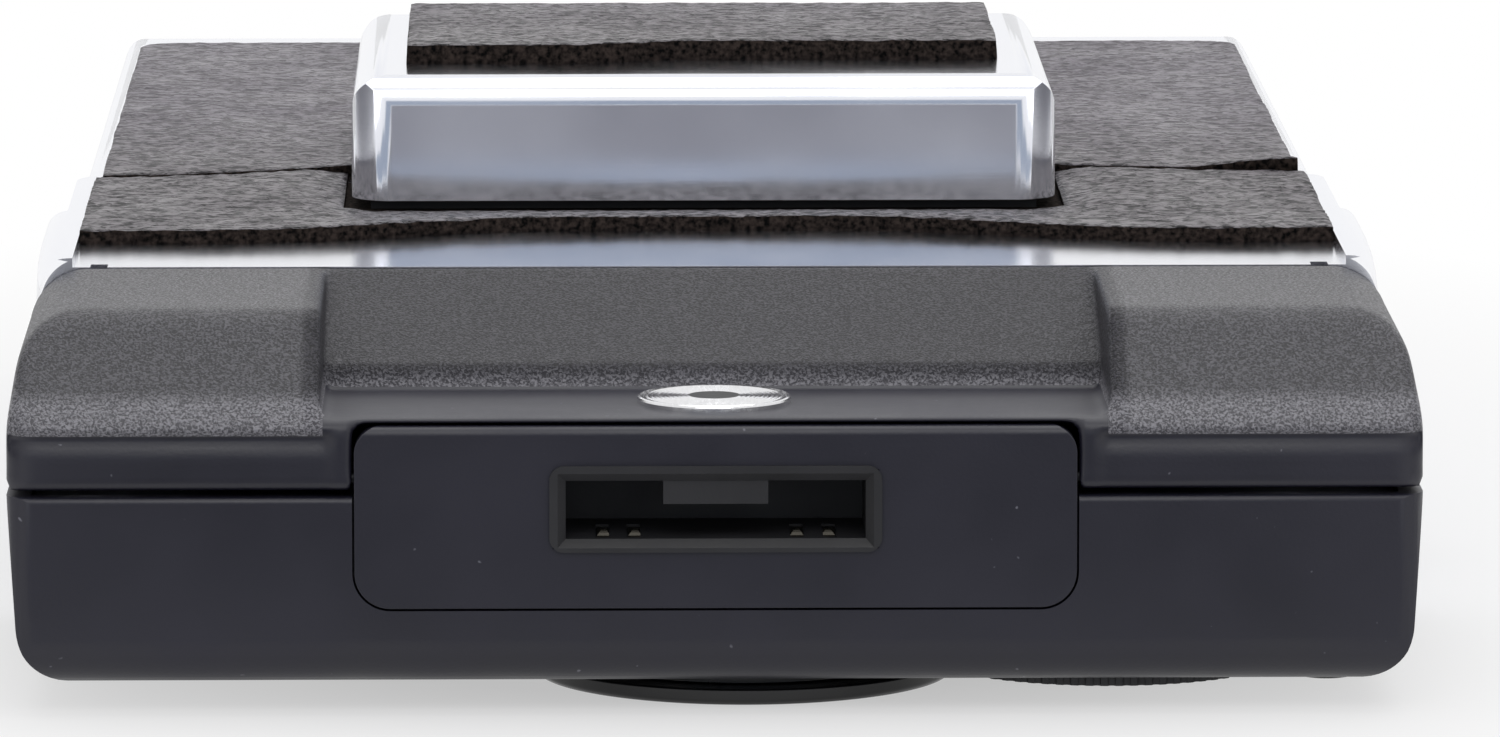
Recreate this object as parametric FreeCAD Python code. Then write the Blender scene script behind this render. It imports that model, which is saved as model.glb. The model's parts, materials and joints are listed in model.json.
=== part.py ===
"""Folding instant camera, folded flat with its lens down.

Millimetres.  X runs to the right, Y from the front end towards the rear, Z up.
Every place below is measured back from the front end face ("back"), across from the
middle ("x") and up from the surface it lies on ("z").  save() moves the finished
solids so that the origin is under the middle of the whole camera.
"""
import FreeCAD, Part
import math
import os
from FreeCAD import Vector

os.makedirs("parts", exist_ok=True)

# ---------------------------------------------------------------- driving dimensions
length = 178.0            # front end face to rear lip
width = 104.0             # over the lens housing, the hood and the base
half = width / 2
cover_top = 29.8          # top of the chrome covers
parting = 16.3            # top of the housing and of the base
parting_gap = 0.5         # open line between the lower shells and the covers
wall = 1.8                # moulded walls
sheet = 1.9               # cover plates
gap = 0.3                 # clearance between pieces that pass each other
pin_play = 0.05           # radial running clearance of a hinge pin

# hinge axes as (back, z)
rear_axis = (length - 10.0, 12.0)    # rear cover on the base
ridge_axis = (80.0, 20.0)        # front cover on the rear cover
nose_axis = (0.9, 17.6)          # lens housing under the hood
arm_axis = (54.5, 13.0)          # arms of the housing in the base
arm_slot_end = (51.7, 17.1)      # other end of the arms' long hole
rear_pin_r = 1.5
ridge_pin_r = 1.2
nose_pin_r = 0.45
arm_pin_r = 1.1
arm_slot_r = 2.3

# lens housing
housing_bottom = 2.2
housing_rear = 44.0
housing_corner = 4.5
housing_nose_r = 3.6
panel_half = 26.5         # flash panel, half width
panel_low = 8.0
panel_top = 21.5
panel_line = 0.15         # fine joint line round the panel
socket_half = 12.2
socket_low = 12.2
socket_high = 18.6
socket_proud = 0.3
slot_half = 11.0
slot_low = 13.15
slot_high = 17.45
slot_depth = 9.8
socket_depth = 11.0
key_half = 3.85
key_drop = 1.75

# lens and controls, all on the lens face
lens_x = 2.4
lens_back = 20.0
ring_r = 15.8
ring_flange = 1.2
neck_r = 13.3
neck_wall = 1.7
focus_back = 17.6
focus_r = 13.4
focus_x = lens_x + neck_r + focus_r + 0.2
focus_low = 1.4
focus_thick = 3.2
exposure_x = -31.0
exposure_back = 17.0
exposure_r = 7.0
eye_x = -19.5
eye_back = 9.5
eye_r = 3.6
button_x = half - 6.4
button_back = 12.0
button_r = 2.4
button_travel = 1.5
plate_low = 9.0           # shutter plate
plate_thick = 1.2

# hood
hood_rear = 31.0
hood_slope_back = 8.0
hood_band_top = 21.4
hood_corner = 4.5
hood_lean = 1.2            # side walls lean in above the band
recess_half = panel_half + 2.5
shelf_top = 22.1
shelf_rear = 14.6
ramp_foot = 23.9
disc_r = 5.7
disc_back = 8.4

# covers
rail_outer = half - 0.2   # side rails of the front cover
rail_thick = 2.0
rail_inner = rail_outer - rail_thick
rear_wall_thick = 2.8     # side walls of the rear cover, inside the rails
rear_wall_outer = rail_inner - 0.4
rear_wall_inner = rear_wall_outer - rear_wall_thick
leather_thick = 1.3
leather_inset = 0.7
bed_level = cover_top - leather_inset   # shallow bed of the leather, flush with the hood
front_leather_start = 44.0
front_leather_half = rail_inner - 1.6
rear_leather_end = length - 10.0
rear_leather_half = rear_wall_outer - 1.7
seam_gap = 0.5

# viewfinder
finder_front = 62.0
finder_length = 46.0
finder_half = 27.65
finder_top = 39.8
finder_low = 30.0         # over the front cover
finder_rear_low = 31.0    # over the leather of the rear cover
finder_leather_thick = 1.75
finder_leather_half = finder_half - 4.3
finder_leather_start = finder_front + 9.0
finder_leather_length = finder_length - 17.0

# base
base_front = 44.7
base_rear = length - 2.3
base_lip = 4.8
front_chamfer_low = 11.8   # sloped front edge that the folding housing passes over
front_chamfer_run = 3.7
door_rear = 60.0
slot_outer = half - 2.8   # slots for the arms of the housing
arm_outer = slot_outer - 0.6
arm_inner = arm_outer - 2.2
slot_inner = arm_inner - 0.5
door_half = slot_inner - 0.7
chamber_half = door_half - 0.6
chamber_rear = length - 18.0
floor_thick = 1.8
deck_thick = 1.8
roller_r = 3.1
roller_back = 52.5
film_gap = 0.3
tripod_r = 3.175
tripod_back = length - 10.0


# ---------------------------------------------------------------- shape helpers
def box(x0, x1, y0, y1, z0, z1):
    """A block between two corners."""
    return Part.makeBox(x1 - x0, y1 - y0, z1 - z0, Vector(x0, y0, z0))


def outline(points, place):
    """Closed wire through (a, b) or (a, b, corner radius) points."""
    corners = []
    count = len(points)
    for i, point in enumerate(points):
        here = Vector(point[0], point[1], 0)
        before = Vector(points[i - 1][0], points[i - 1][1], 0)
        after = Vector(points[(i + 1) % count][0], points[(i + 1) % count][1], 0)
        radius = point[2] if len(point) > 2 else 0
        if radius == 0:
            corners.append((here, None, here))
            continue
        into = (before - here).normalize()
        out = (after - here).normalize()
        half = into.getAngle(out) / 2
        reach = radius / math.tan(half)
        middle = (into + out).normalize()
        bulge = here + middle * (radius / math.sin(half) - radius)
        corners.append((here + into * reach, bulge, here + out * reach))
    edges = []
    for i, (start, bulge, end) in enumerate(corners):
        if bulge is not None:
            edges.append(Part.Arc(place(start), place(bulge), place(end)).toShape())
        following = corners[(i + 1) % count][0]
        if end.distanceToPoint(following) > 1e-6:
            edges.append(Part.LineSegment(place(end), place(following)).toShape())
    return Part.Wire(edges)


def side_prism(points, x0, x1):
    """(back, z) outline drawn from the side, pushed across from x0 to x1."""
    wire = outline(points, lambda p: Vector(x0, p.x, p.y))
    return Part.Face(wire).extrude(Vector(x1 - x0, 0, 0))


def plan_prism(points, z0, z1):
    """(x, back) outline drawn from above, pushed up from z0 to z1."""
    wire = outline(points, lambda p: Vector(p.x, p.y, z0))
    return Part.Face(wire).extrude(Vector(0, 0, z1 - z0))


def front_prism(points, y0, y1):
    """(x, z) outline drawn from the front, pushed back from y0 to y1."""
    wire = outline(points, lambda p: Vector(p.x, y0, p.y))
    return Part.Face(wire).extrude(Vector(0, y1 - y0, 0))


def rectangle(a0, a1, b0, b1, radius=0):
    """Four corners, each with the same radius."""
    return [(a0, b0, radius), (a1, b0, radius), (a1, b1, radius), (a0, b1, radius)]


def rod_x(x0, x1, axis, radius):
    """Round bar across the camera on a (back, z) axis."""
    return Part.makeCylinder(radius, x1 - x0, Vector(x0, axis[0], axis[1]), Vector(1, 0, 0))


def rod_y(x, z, y0, y1, radius):
    return Part.makeCylinder(radius, y1 - y0, Vector(x, y0, z), Vector(0, 1, 0))


def rod_z(x, back, z0, z1, radius):
    return Part.makeCylinder(radius, z1 - z0, Vector(x, back, z0))


def other_side(shape):
    return shape.mirror(Vector(0, 0, 0), Vector(1, 0, 0))


def pair(shape):
    """The piece and its twin on the other side, as separate solids."""
    return Part.makeCompound([shape, other_side(shape)])


def with_twin(body, shape):
    """Fuse a feature and its twin onto a body."""
    return body.fuse([shape, other_side(shape)])


def without_twin(body, shape):
    """Cut a feature and its twin from a body."""
    return body.cut([shape, other_side(shape)])


def save(name, shape):
    shape = shape.removeSplitter()
    shape.translate(Vector(0, -(length - socket_proud) / 2, 0))
    solids = shape.Solids
    good = shape.isValid() and all(s.Volume > 0 for s in solids)
    print(f"{name}: {len(solids)} solid(s), {shape.Volume:.1f} mm3{'' if good else '  NOT VALID'}")
    if len(solids) == 1:
        shape = solids[0]
    shape.exportStep(f"parts/{name}.step")


# ---------------------------------------------------------------- lens housing
housing_inner = half - wall
plate_half = arm_inner - 0.4
housing_floor = housing_bottom + wall


def knurled_disc(x, back, z0, z1, radius, teeth, depth):
    """Flat wheel with round grooves across its rim."""
    disc = rod_z(x, back, z0, z1, radius)
    cutters = []
    for i in range(teeth):
        turn = 2 * math.pi * i / teeth
        cutters.append(rod_z(x + (radius + depth) * math.cos(turn),
                             back + (radius + depth) * math.sin(turn), z0 - 1, z1 + 1,
                             2 * depth))
    return disc.cut(cutters)


def lens_housing():
    side = side_prism([(0, housing_bottom, housing_nose_r), (housing_rear, housing_bottom, 1.5),
                       (housing_rear, parting, 0.4), (0, parting, 0.5)], -half, half)
    draft = 0.9
    front = front_prism([(-half + draft, housing_bottom, housing_corner),
                         (half - draft, housing_bottom, housing_corner),
                         (half, parting), (-half, parting)], -1, housing_rear + 1)
    plan = plan_prism([(-half, 0, 2.0), (half, 0, 2.0), (half, housing_rear, 1.0),
                       (-half, housing_rear, 1.0)], 0, parting + 1)
    shell = side.common(front).common(plan)
    shell = shell.cut(box(-housing_inner, housing_inner, wall, housing_rear - wall,
                          housing_floor, parting + 1))
    # cradle for the flash panel
    shell = shell.cut(front_prism([(-panel_half - panel_line, panel_low - panel_line, 2.8),
                                   (panel_half + panel_line, panel_low - panel_line, 2.8),
                                   (panel_half + panel_line, parting + 5),
                                   (-panel_half - panel_line, parting + 5)], -1, wall + 0.01))
    # openings in the lens face
    for x, back, radius in ((lens_x, lens_back, neck_r + gap / 2),
                            (focus_x, focus_back, focus_r + gap),
                            (exposure_x, exposure_back, exposure_r + gap),
                            (eye_x, eye_back, eye_r), (button_x, button_back, button_r + 0.1)):
        shell = shell.cut(rod_z(x, back, 0, housing_floor + 0.5, radius))
    # pads that carry the arms, ledges for the back and posts for the shutter plate
    pad = box(arm_outer, housing_inner + 0.2, 31, 41, 9.9, 14.5)
    ledge = box(half - 3.0, housing_inner + 0.2, 3, housing_rear - wall, parting - 2.6, parting - 1.4)
    shell = with_twin(shell, pad)
    shell = with_twin(shell, ledge)
    posts = [rod_z(x, back, housing_floor - 0.5, plate_low, 2.2)
             for x in (9 - half, half - 9) for back in (5.5, 37)]
    shell = shell.fuse(posts)
    # way out for the arms through the rear wall
    return without_twin(shell, box(arm_inner - gap, arm_outer + gap, housing_rear - wall - 1,
                                   housing_rear + 1, 9.6, parting + 1))


def flash_panel():
    face = front_prism([(-panel_half, panel_low, 2.65), (panel_half, panel_low, 2.65),
                        (panel_half, panel_top, 2.0), (-panel_half, panel_top, 2.0)], 0, wall)
    face = face.common(side_prism([(0, panel_low - 1), (wall, panel_low - 1),
                                   (wall, panel_top, 0.7), (0, panel_top, 0.7)],
                                  -half, half))
    lap = front_prism(rectangle(-panel_half - 1.2, panel_half + 1.2, panel_low - 1.2,
                                parting - 0.3, 1.0), wall, wall + 1.0)
    panel = face.fuse(lap)
    panel = panel.cut(box(-socket_half + 0.3, socket_half - 0.3, -1, 5, socket_low + 0.3,
                          socket_high - 0.3))
    bore = rod_x(21.0, panel_half + 1, nose_axis, nose_pin_r + pin_play)
    return without_twin(panel, bore)


def flash_socket():
    flange = front_prism(rectangle(-socket_half, socket_half, socket_low, socket_high, 1.1),
                         -socket_proud, 0)
    body = box(-socket_half + 0.3, socket_half - 0.3, 0, socket_depth, socket_low + 0.3,
               socket_high - 0.3)
    socket = flange.fuse(body)
    mouth = box(-slot_half, slot_half, -1, slot_depth, slot_low, slot_high)
    key = box(-key_half, key_half, 0.4, 6.0, slot_high - key_drop, slot_high)
    recesses = [box(x - 0.5, x + 0.5, 1.0, 7.0, slot_low - 0.3, slot_low + 0.1)
                for x in contact_places]
    return socket.cut(mouth.cut(key)).cut(recesses)


contact_places = (-8.3, -6.0, 6.0, 8.4)


def flash_contacts():
    return Part.makeCompound([box(x - 0.45, x + 0.45, 1.0, 7.0, slot_low - 0.3, slot_low)
                              for x in contact_places])


def housing_back():
    low = parting - 1.4
    plate = box(-housing_inner + 0.2, housing_inner - 0.2, 3.0, housing_rear - wall - 0.2, low,
                parting - 0.2)
    plate = plate.cut(box(-socket_half, socket_half, 0, socket_depth + 0.4, 0, 20))
    tube = rod_z(lens_x, lens_back + 1, low - 3.0, low + 0.2, 8.4)
    light_way = rod_z(lens_x, lens_back + 1, low - 4.0, low + 3, 7.2)
    seat = rod_z(lens_x, lens_back + 1, low - 4.0, low - 1.0, 7.8)
    plate = plate.fuse(tube).cut(light_way).cut(seat)
    way = box(arm_inner - gap, arm_outer + gap, housing_rear - wall - 1.2, housing_rear, 0, 20)
    return without_twin(plate, way)


def rear_element():
    top = parting - 2.4
    return rod_z(lens_x, lens_back + 1, top - 1.8, top, 7.8)


def housing_arms():
    """One arm each side, with a long hole where it leaves the base's pin free."""
    bar = side_prism([(31, 9.9), (arm_axis[0], 9.9), (arm_axis[0] + 1.0, 14.5), (31, 14.5)],
                     arm_inner, arm_outer)
    rim = arm_slot_r + 1.4

    def long_hole(radius, x0, x1):
        run = Vector(0, arm_slot_end[0] - arm_axis[0], arm_slot_end[1] - arm_axis[1])
        across = Vector(0, -run.z, run.y).normalize() * radius
        start = Vector(x0, arm_axis[0], arm_axis[1])
        corners = [start + across, start + run + across, start + run - across, start - across]
        face = Part.Face(Part.makePolygon(corners + corners[:1]))
        return face.extrude(Vector(x1 - x0, 0, 0)).fuse(
            [rod_x(x0, x1, arm_axis, radius), rod_x(x0, x1, arm_slot_end, radius)])

    arm = bar.fuse(long_hole(rim, arm_inner, arm_outer))
    arm = arm.cut(long_hole(arm_slot_r, arm_inner - 1, arm_outer + 1))
    return pair(arm)


def shutter_plate():
    plate = plan_prism(rectangle(-plate_half, plate_half, 3.6, housing_rear - wall - 0.6, 1.5),
                       plate_low, plate_low + plate_thick)
    plate = plate.cut(box(-socket_half, socket_half, 0, socket_depth + 0.4, 0, 30))
    tube = rod_z(lens_x, lens_back, 4.6, plate_low + 0.2, neck_r - neck_wall - 0.1)
    plate = plate.fuse(tube)
    return plate.cut(rod_z(lens_x, lens_back, 4, 20, 8.6))


def wheel_spindles():
    focus = rod_z(focus_x, focus_back, focus_low + 0.3, plate_low, 1.5)
    exposure = rod_z(exposure_x, exposure_back, focus_low + 0.5, plate_low, 1.2)
    return Part.makeCompound([focus, exposure])


def lens_ring():
    flange = rod_z(lens_x, lens_back, 0, ring_flange, ring_r)
    flange = flange.makeChamfer(0.3, [e for e in flange.Edges
                                      if abs(e.BoundBox.ZMax) < 1e-6])
    neck = rod_z(lens_x, lens_back, ring_flange - 0.2, 6.2, neck_r)
    ring = flange.fuse(neck)
    ring = ring.cut(rod_z(lens_x, lens_back, 1.0, 7, neck_r - neck_wall))
    mouth = Part.makeCone(11.2, 9.4, 1.2, Vector(lens_x, lens_back, -0.1))
    return ring.cut(mouth)


def front_element():
    radius = neck_r - neck_wall
    disc = rod_z(lens_x, lens_back, 1.0, 4.2, radius)
    dome_r = 46.0
    dome = Part.makeSphere(dome_r, Vector(lens_x, lens_back, 1.0 + dome_r))
    return disc.common(dome)


def focus_wheel():
    wheel = knurled_disc(focus_x, focus_back, focus_low, focus_low + focus_thick, focus_r, 76,
                         0.18)
    return wheel.cut(rod_z(focus_x, focus_back, 0, 9, 1.5 + pin_play))


def exposure_wheel():
    wheel = knurled_disc(exposure_x, exposure_back, focus_low + 0.3, focus_low + focus_thick,
                         exposure_r, 40, 0.18)
    return wheel.cut(rod_z(exposure_x, exposure_back, 0, 9, 1.2 + pin_play))


def eye_window():
    return rod_z(eye_x, eye_back, housing_bottom + 0.2, housing_floor, eye_r)


def shutter_button():
    cap = rod_z(button_x, button_back, 0.9, housing_floor + 0.6, button_r)
    cap = cap.makeFillet(0.5, [e for e in cap.Edges if abs(e.BoundBox.ZMax - 0.9) < 1e-6])
    collar = rod_z(button_x, button_back, housing_floor + 0.05, housing_floor + 1.0,
                   button_r + 0.7)
    return cap.fuse(collar)


spring_low = housing_floor + 1.0


def button_spring():
    """Outer form of the coil between the button's collar and the shutter plate."""
    coil = rod_z(button_x, button_back, spring_low, plate_low, 1.9)
    return coil.cut(rod_z(button_x, button_back, 0, 20, 1.45))


# ---------------------------------------------------------------- shutter blades
blade_low = plate_low + plate_thick + 0.15
blade_thick = 0.25
blade_travel = 6.0


def shutter_blade(side, level):
    """Thin leaf with a tapered window that slides across the lens."""
    low = blade_low + level * (blade_thick + 0.15)
    outer = lens_x + side * 22.0
    inner = lens_x - side * 9.0
    leaf = plan_prism(rectangle(min(inner, outer), max(inner, outer), lens_back - 8,
                                lens_back + 8, 1.5), low, low + blade_thick)
    window_x = lens_x + side * 15.0
    return leaf.cut(rod_z(window_x, lens_back, low - 1, low + 1, 4.5))


def blade_guides():
    """Two rails on the shutter plate that keep the leaves flat."""
    low = plate_low + plate_thick
    high = blade_low + 2 * blade_thick + 0.35
    rails = [box(lens_x - 29, lens_x + 29, back, back + 1.2, low, high)
             for back in (lens_back - 9.4, lens_back + 8.2)]
    return Part.makeCompound(rails)


# ---------------------------------------------------------------- hood
hood_low = parting + parting_gap
hood_top = bed_level
hood_wall = 1.6
front_slit = panel_half + panel_line
tab_sweep = 4.05          # room round the hinge for the panel's upper edge


def hood():
    side = side_prism([(0, hood_low, 0.3), (0, hood_band_top, 0.5),
                       (hood_slope_back, hood_top, 3.0), (hood_rear, hood_top, 0.3),
                       (hood_rear, hood_low)], -half, half)
    shoulder = half - hood_lean
    front = front_prism([(-half, hood_low), (half, hood_low), (half, hood_band_top),
                         (shoulder, hood_top, hood_corner), (-shoulder, hood_top, hood_corner),
                         (-half, hood_band_top)], -1, hood_rear + 1)
    plan = plan_prism([(-half, 0, 2.0), (half, 0, 2.0), (half, hood_rear), (-half, hood_rear)],
                      hood_low - 1, cover_top + 1)
    shell = side.common(front).common(plan)
    recess = side_prism([(hood_rear + 0.01, hood_top), (shelf_rear + 0.4, ramp_foot),
                         (shelf_rear, shelf_top), (-1, shelf_top), (-1, cover_top),
                         (hood_rear + 0.01, cover_top)], -recess_half, recess_half)
    shell = shell.cut(recess)
    # hollow of each side block
    hollow = side_prism([(wall, hood_low - 1), (wall, hood_band_top - 0.7),
                         (hood_slope_back + 0.6, hood_top - hood_wall),
                         (hood_rear + 1, hood_top - hood_wall), (hood_rear + 1, hood_low - 1)],
                        recess_half + hood_wall, half - hood_wall)
    round_hollow = front_prism([(recess_half, hood_low - 2), (half - hood_wall, hood_low - 2),
                                (half - hood_wall, hood_band_top),
                                (shoulder - hood_wall, hood_top - hood_wall, hood_corner - 1),
                                (recess_half, hood_top - hood_wall)], -1, hood_rear + 2)
    shell = without_twin(shell, hollow.common(round_hollow))
    # hollow under the shelf and the ramp
    under = side_prism([(wall, hood_low - 1), (wall, shelf_top - 1.2),
                        (shelf_rear + 1.2, shelf_top - 1.2), (shelf_rear + 1.6, ramp_foot - 0.8),
                        (hood_rear + 1, hood_top - 1.5), (hood_rear + 1, hood_low - 1)],
                       -recess_half, recess_half)
    shell = shell.cut(under)
    # slit for the flash panel and the sweep of its upper edge
    shell = shell.cut([box(-front_slit, front_slit, -1, wall + 0.1, hood_low - 1,
                           nose_axis[1]),
                       box(-front_slit, front_slit, -1, 0.5, hood_low - 1, hood_top),
                       rod_x(-front_slit, front_slit, nose_axis, tab_sweep)])
    bore = rod_x(panel_half, panel_half + 10, nose_axis, nose_pin_r)
    shell = without_twin(shell, bore)
    # pads that take the cover's screws
    pad = rod_z(hood_screw_x, hood_screw_back, tongue_top, hood_top - hood_wall + 0.2, 2.6)
    shell = with_twin(shell, pad)
    return without_twin(shell, rod_z(hood_screw_x, hood_screw_back, tongue_top - 1,
                                     tongue_top + 1.1, 1.0))


def hood_disc():
    disc = rod_z(0, disc_back, shelf_top, shelf_top + 0.5, disc_r)
    top_edges = [e for e in disc.Edges if e.BoundBox.ZMin > shelf_top + 0.4]
    disc = disc.makeFillet(0.2, top_edges)
    dish_r = 6.0
    dish = Part.makeSphere(dish_r, Vector(0, disc_back, shelf_top + 0.15 + dish_r))
    return disc.cut(dish)


def nose_pins():
    return pair(rod_x(panel_half - 5.0, panel_half + 10, nose_axis, nose_pin_r))


# ---------------------------------------------------------------- front cover
plate_under = cover_top - sheet
cover_front = hood_rear + 0.2
front_plate_end = ridge_axis[0] - seam_gap
tongue_half = half - 5.4
tongue_thick = 1.4
tongue_top = hood_top - hood_wall - 0.3
tongue_low = tongue_top - tongue_thick
hood_screw_back = 27.0
hood_screw_x = (recess_half + hood_wall + tongue_half) / 2
ear_r = 3.2


def rail():
    """Side rail with a long rounded rear end round the ridge pin."""
    profile = [(cover_front, hood_low, 0.5), (cover_front, cover_top),
               (ridge_axis[0] - 19, cover_top, 25.0),
               (ridge_axis[0] + ear_r + 0.8, ridge_axis[1] + 2.5, 3.0),
               (ridge_axis[0] + ear_r + 0.8, hood_low, 2.4)]
    return side_prism(profile, rail_inner - 0.01, rail_outer)


def front_cover():
    plate = box(-rail_outer, rail_outer, cover_front, front_plate_end, plate_under, cover_top)
    plate = plate.cut(box(-rail_outer - 1, -rail_inner, ridge_axis[0] - 19, 90, 0, 40))
    plate = plate.cut(box(rail_inner, rail_outer + 1, ridge_axis[0] - 19, 90, 0, 40))
    cover = with_twin(plate, rail())
    # rounded long edges
    cover = cover.common(front_prism([(-rail_outer, hood_low - 1), (rail_outer, hood_low - 1),
                                      (rail_outer, cover_top, 3.3),
                                      (-rail_outer, cover_top, 3.3)], 0, length))
    # shallow bed for the leather, from the hood to the joint and on under the viewfinder
    bed_half = front_leather_half + 0.05
    cover = cover.cut(box(-bed_half, bed_half, cover_front - 1, front_plate_end + 2, bed_level,
                          cover_top + 2))
    # tongue under the hood, hung from the front end of the plate
    tongue = box(-tongue_half, tongue_half, hood_screw_back - 3.5, cover_front + 2,
                 tongue_low, tongue_top)
    root = box(-tongue_half, tongue_half, cover_front, cover_front + 2, tongue_low,
               plate_under + 0.2)
    tongue = tongue.cut(box(-recess_half - hood_wall - 0.2, recess_half + hood_wall + 0.2,
                            hood_screw_back - 4, cover_front, tongue_low - 1, cover_top))
    cover = cover.fuse([tongue, root])
    # notches at the front corners
    cover = without_twin(cover, box(half - 6.4, half - 5.1, cover_front - 1, cover_front + 1.6,
                                    plate_under + 0.3, cover_top + 1))
    cover = without_twin(cover, rod_z(hood_screw_x, hood_screw_back, 0, 40, 1.2))
    cover = without_twin(cover, rod_x(rail_inner - 2, rail_outer - 0.8, ridge_axis,
                                      ridge_pin_r))
    return cover


def front_leather():
    """Cover leather, open round the viewfinder."""
    blank = plan_prism(rectangle(-front_leather_half, front_leather_half, front_leather_start,
                                 front_plate_end - 0.2, 0.8),
                       bed_level, bed_level + leather_thick)
    around = finder_half + 0.6
    return blank.cut(box(-around, around, finder_front - 0.8, front_plate_end, bed_level - 1,
                         finder_top))


def cover_screws():
    head = rod_z(hood_screw_x, hood_screw_back, tongue_low - 1.0, tongue_low, 2.0)
    shank = rod_z(hood_screw_x, hood_screw_back, tongue_low - 0.1, tongue_top + 1.0, 1.0)
    return pair(head.fuse(shank))


def ridge_pins():
    return pair(rod_x(rear_wall_inner - 0.6, rail_outer - 0.8, ridge_axis, ridge_pin_r))


# ---------------------------------------------------------------- viewfinder
finder_rear = finder_front + finder_length
finder_wall = 1.2
finder_pin = (finder_front + 3.2, finder_low + 1.9)
finder_pin_r = 0.9


def viewfinder_cap():
    outer = plan_prism(rectangle(-finder_half, finder_half, finder_front, finder_rear, 3.3),
                       finder_low, finder_top)
    outer = outer.common(side_prism([(finder_front, finder_low), (front_plate_end, finder_low),
                                     (front_plate_end, finder_rear_low),
                                     (finder_rear, finder_rear_low),
                                     (finder_rear, finder_top, 2.8),
                                     (finder_front, finder_top, 2.3)], -half, half))
    outer = outer.common(front_prism([(-finder_half, finder_low), (finder_half, finder_low),
                                      (finder_half, finder_top, 2.8),
                                      (-finder_half, finder_top, 2.8)], 0, length))
    inner = plan_prism(rectangle(-finder_half + finder_wall, finder_half - finder_wall,
                                 finder_front + finder_wall, finder_rear - finder_wall, 0.5),
                       finder_low - 1, finder_top - 1.6)
    cap = outer.cut(inner)
    # window behind the eyepiece
    cap = cap.cut(box(-18, 18, finder_rear - 3, finder_rear + 1, finder_low - 1,
                      finder_top - 3.2))
    return without_twin(cap, rod_x(finder_half - 3, finder_half - 0.4, finder_pin,
                                   finder_pin_r))


def viewfinder_leather():
    return plan_prism(rectangle(-finder_leather_half, finder_leather_half,
                                finder_leather_start,
                                finder_leather_start + finder_leather_length, 1.0),
                      finder_top, finder_top + finder_leather_thick)


frame_side = finder_half - finder_wall - gap


def viewfinder_frame():
    """Black body inside the cap, carried on the front cover."""
    outer = box(-frame_side, frame_side, finder_front + finder_wall + 0.7,
                finder_rear - finder_wall - 0.4, bed_level + leather_thick + 0.2,
                finder_top - 2.2)
    inner = box(-frame_side + 1.4, frame_side - 1.4, finder_front + finder_wall + 2.1,
                finder_rear, 0, finder_top + 1)
    floor = box(-frame_side, frame_side, front_plate_end + 0.6,
                finder_rear - finder_wall - 0.4, bed_level + leather_thick + 0.2,
                bed_level + leather_thick + 1.2)
    foot = box(-frame_side, frame_side, finder_front + finder_wall + 0.7, front_plate_end - 0.3,
               bed_level, bed_level + leather_thick + 1.2)
    rear = box(-frame_side, frame_side, finder_rear - finder_wall - 2.0,
               finder_rear - finder_wall - 0.4, cover_top + 1.0, finder_top - 2.2)
    rear = rear.cut(box(-15, 15, finder_rear - 5, finder_rear, cover_top + 2.2,
                        finder_top - 3.4))
    body = outer.cut(inner).fuse([floor, foot, rear])
    return without_twin(body, rod_x(frame_side - 5, frame_side + 1, finder_pin,
                                    finder_pin_r + pin_play))


def eye_lens():
    return box(-15, 15, finder_rear - finder_wall - 1.8, finder_rear - finder_wall - 0.8,
               cover_top + 2.2, finder_top - 3.4)


def finder_mirror():
    """Slanted concave mirror at the front of the viewfinder."""
    low = bed_level + leather_thick + 1.2
    start = finder_front + 6.0
    return side_prism([(start, low), (start + 1.2, low), (start + 5.4, low + 5.2),
                       (start + 4.2, low + 5.2)], -20, 20)


def finder_pins():
    return pair(rod_x(frame_side - 3.0, finder_half - 0.4, finder_pin, finder_pin_r))


# ---------------------------------------------------------------- rear cover
nose_r = 7.6
rear_start = ridge_axis[0]


def ring_part(axis, inner, outer, x0, x1, start, end):
    """Part of a tube across the camera between two angles in the side view."""
    tube = rod_x(x0, x1, axis, outer).cut(rod_x(x0 - 1, x1 + 1, axis, inner))
    corners = [Vector(x0 - 1, axis[0], axis[1])]
    steps = 4
    for i in range(steps + 1):
        turn = math.radians(start + (end - start) * i / steps)
        corners.append(Vector(x0 - 1, axis[0] + 3 * outer * math.cos(turn),
                              axis[1] + 3 * outer * math.sin(turn)))
    wedge = Part.Face(Part.makePolygon(corners + corners[:1])).extrude(
        Vector(x1 - x0 + 2, 0, 0))
    return tube.common(wedge)


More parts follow.
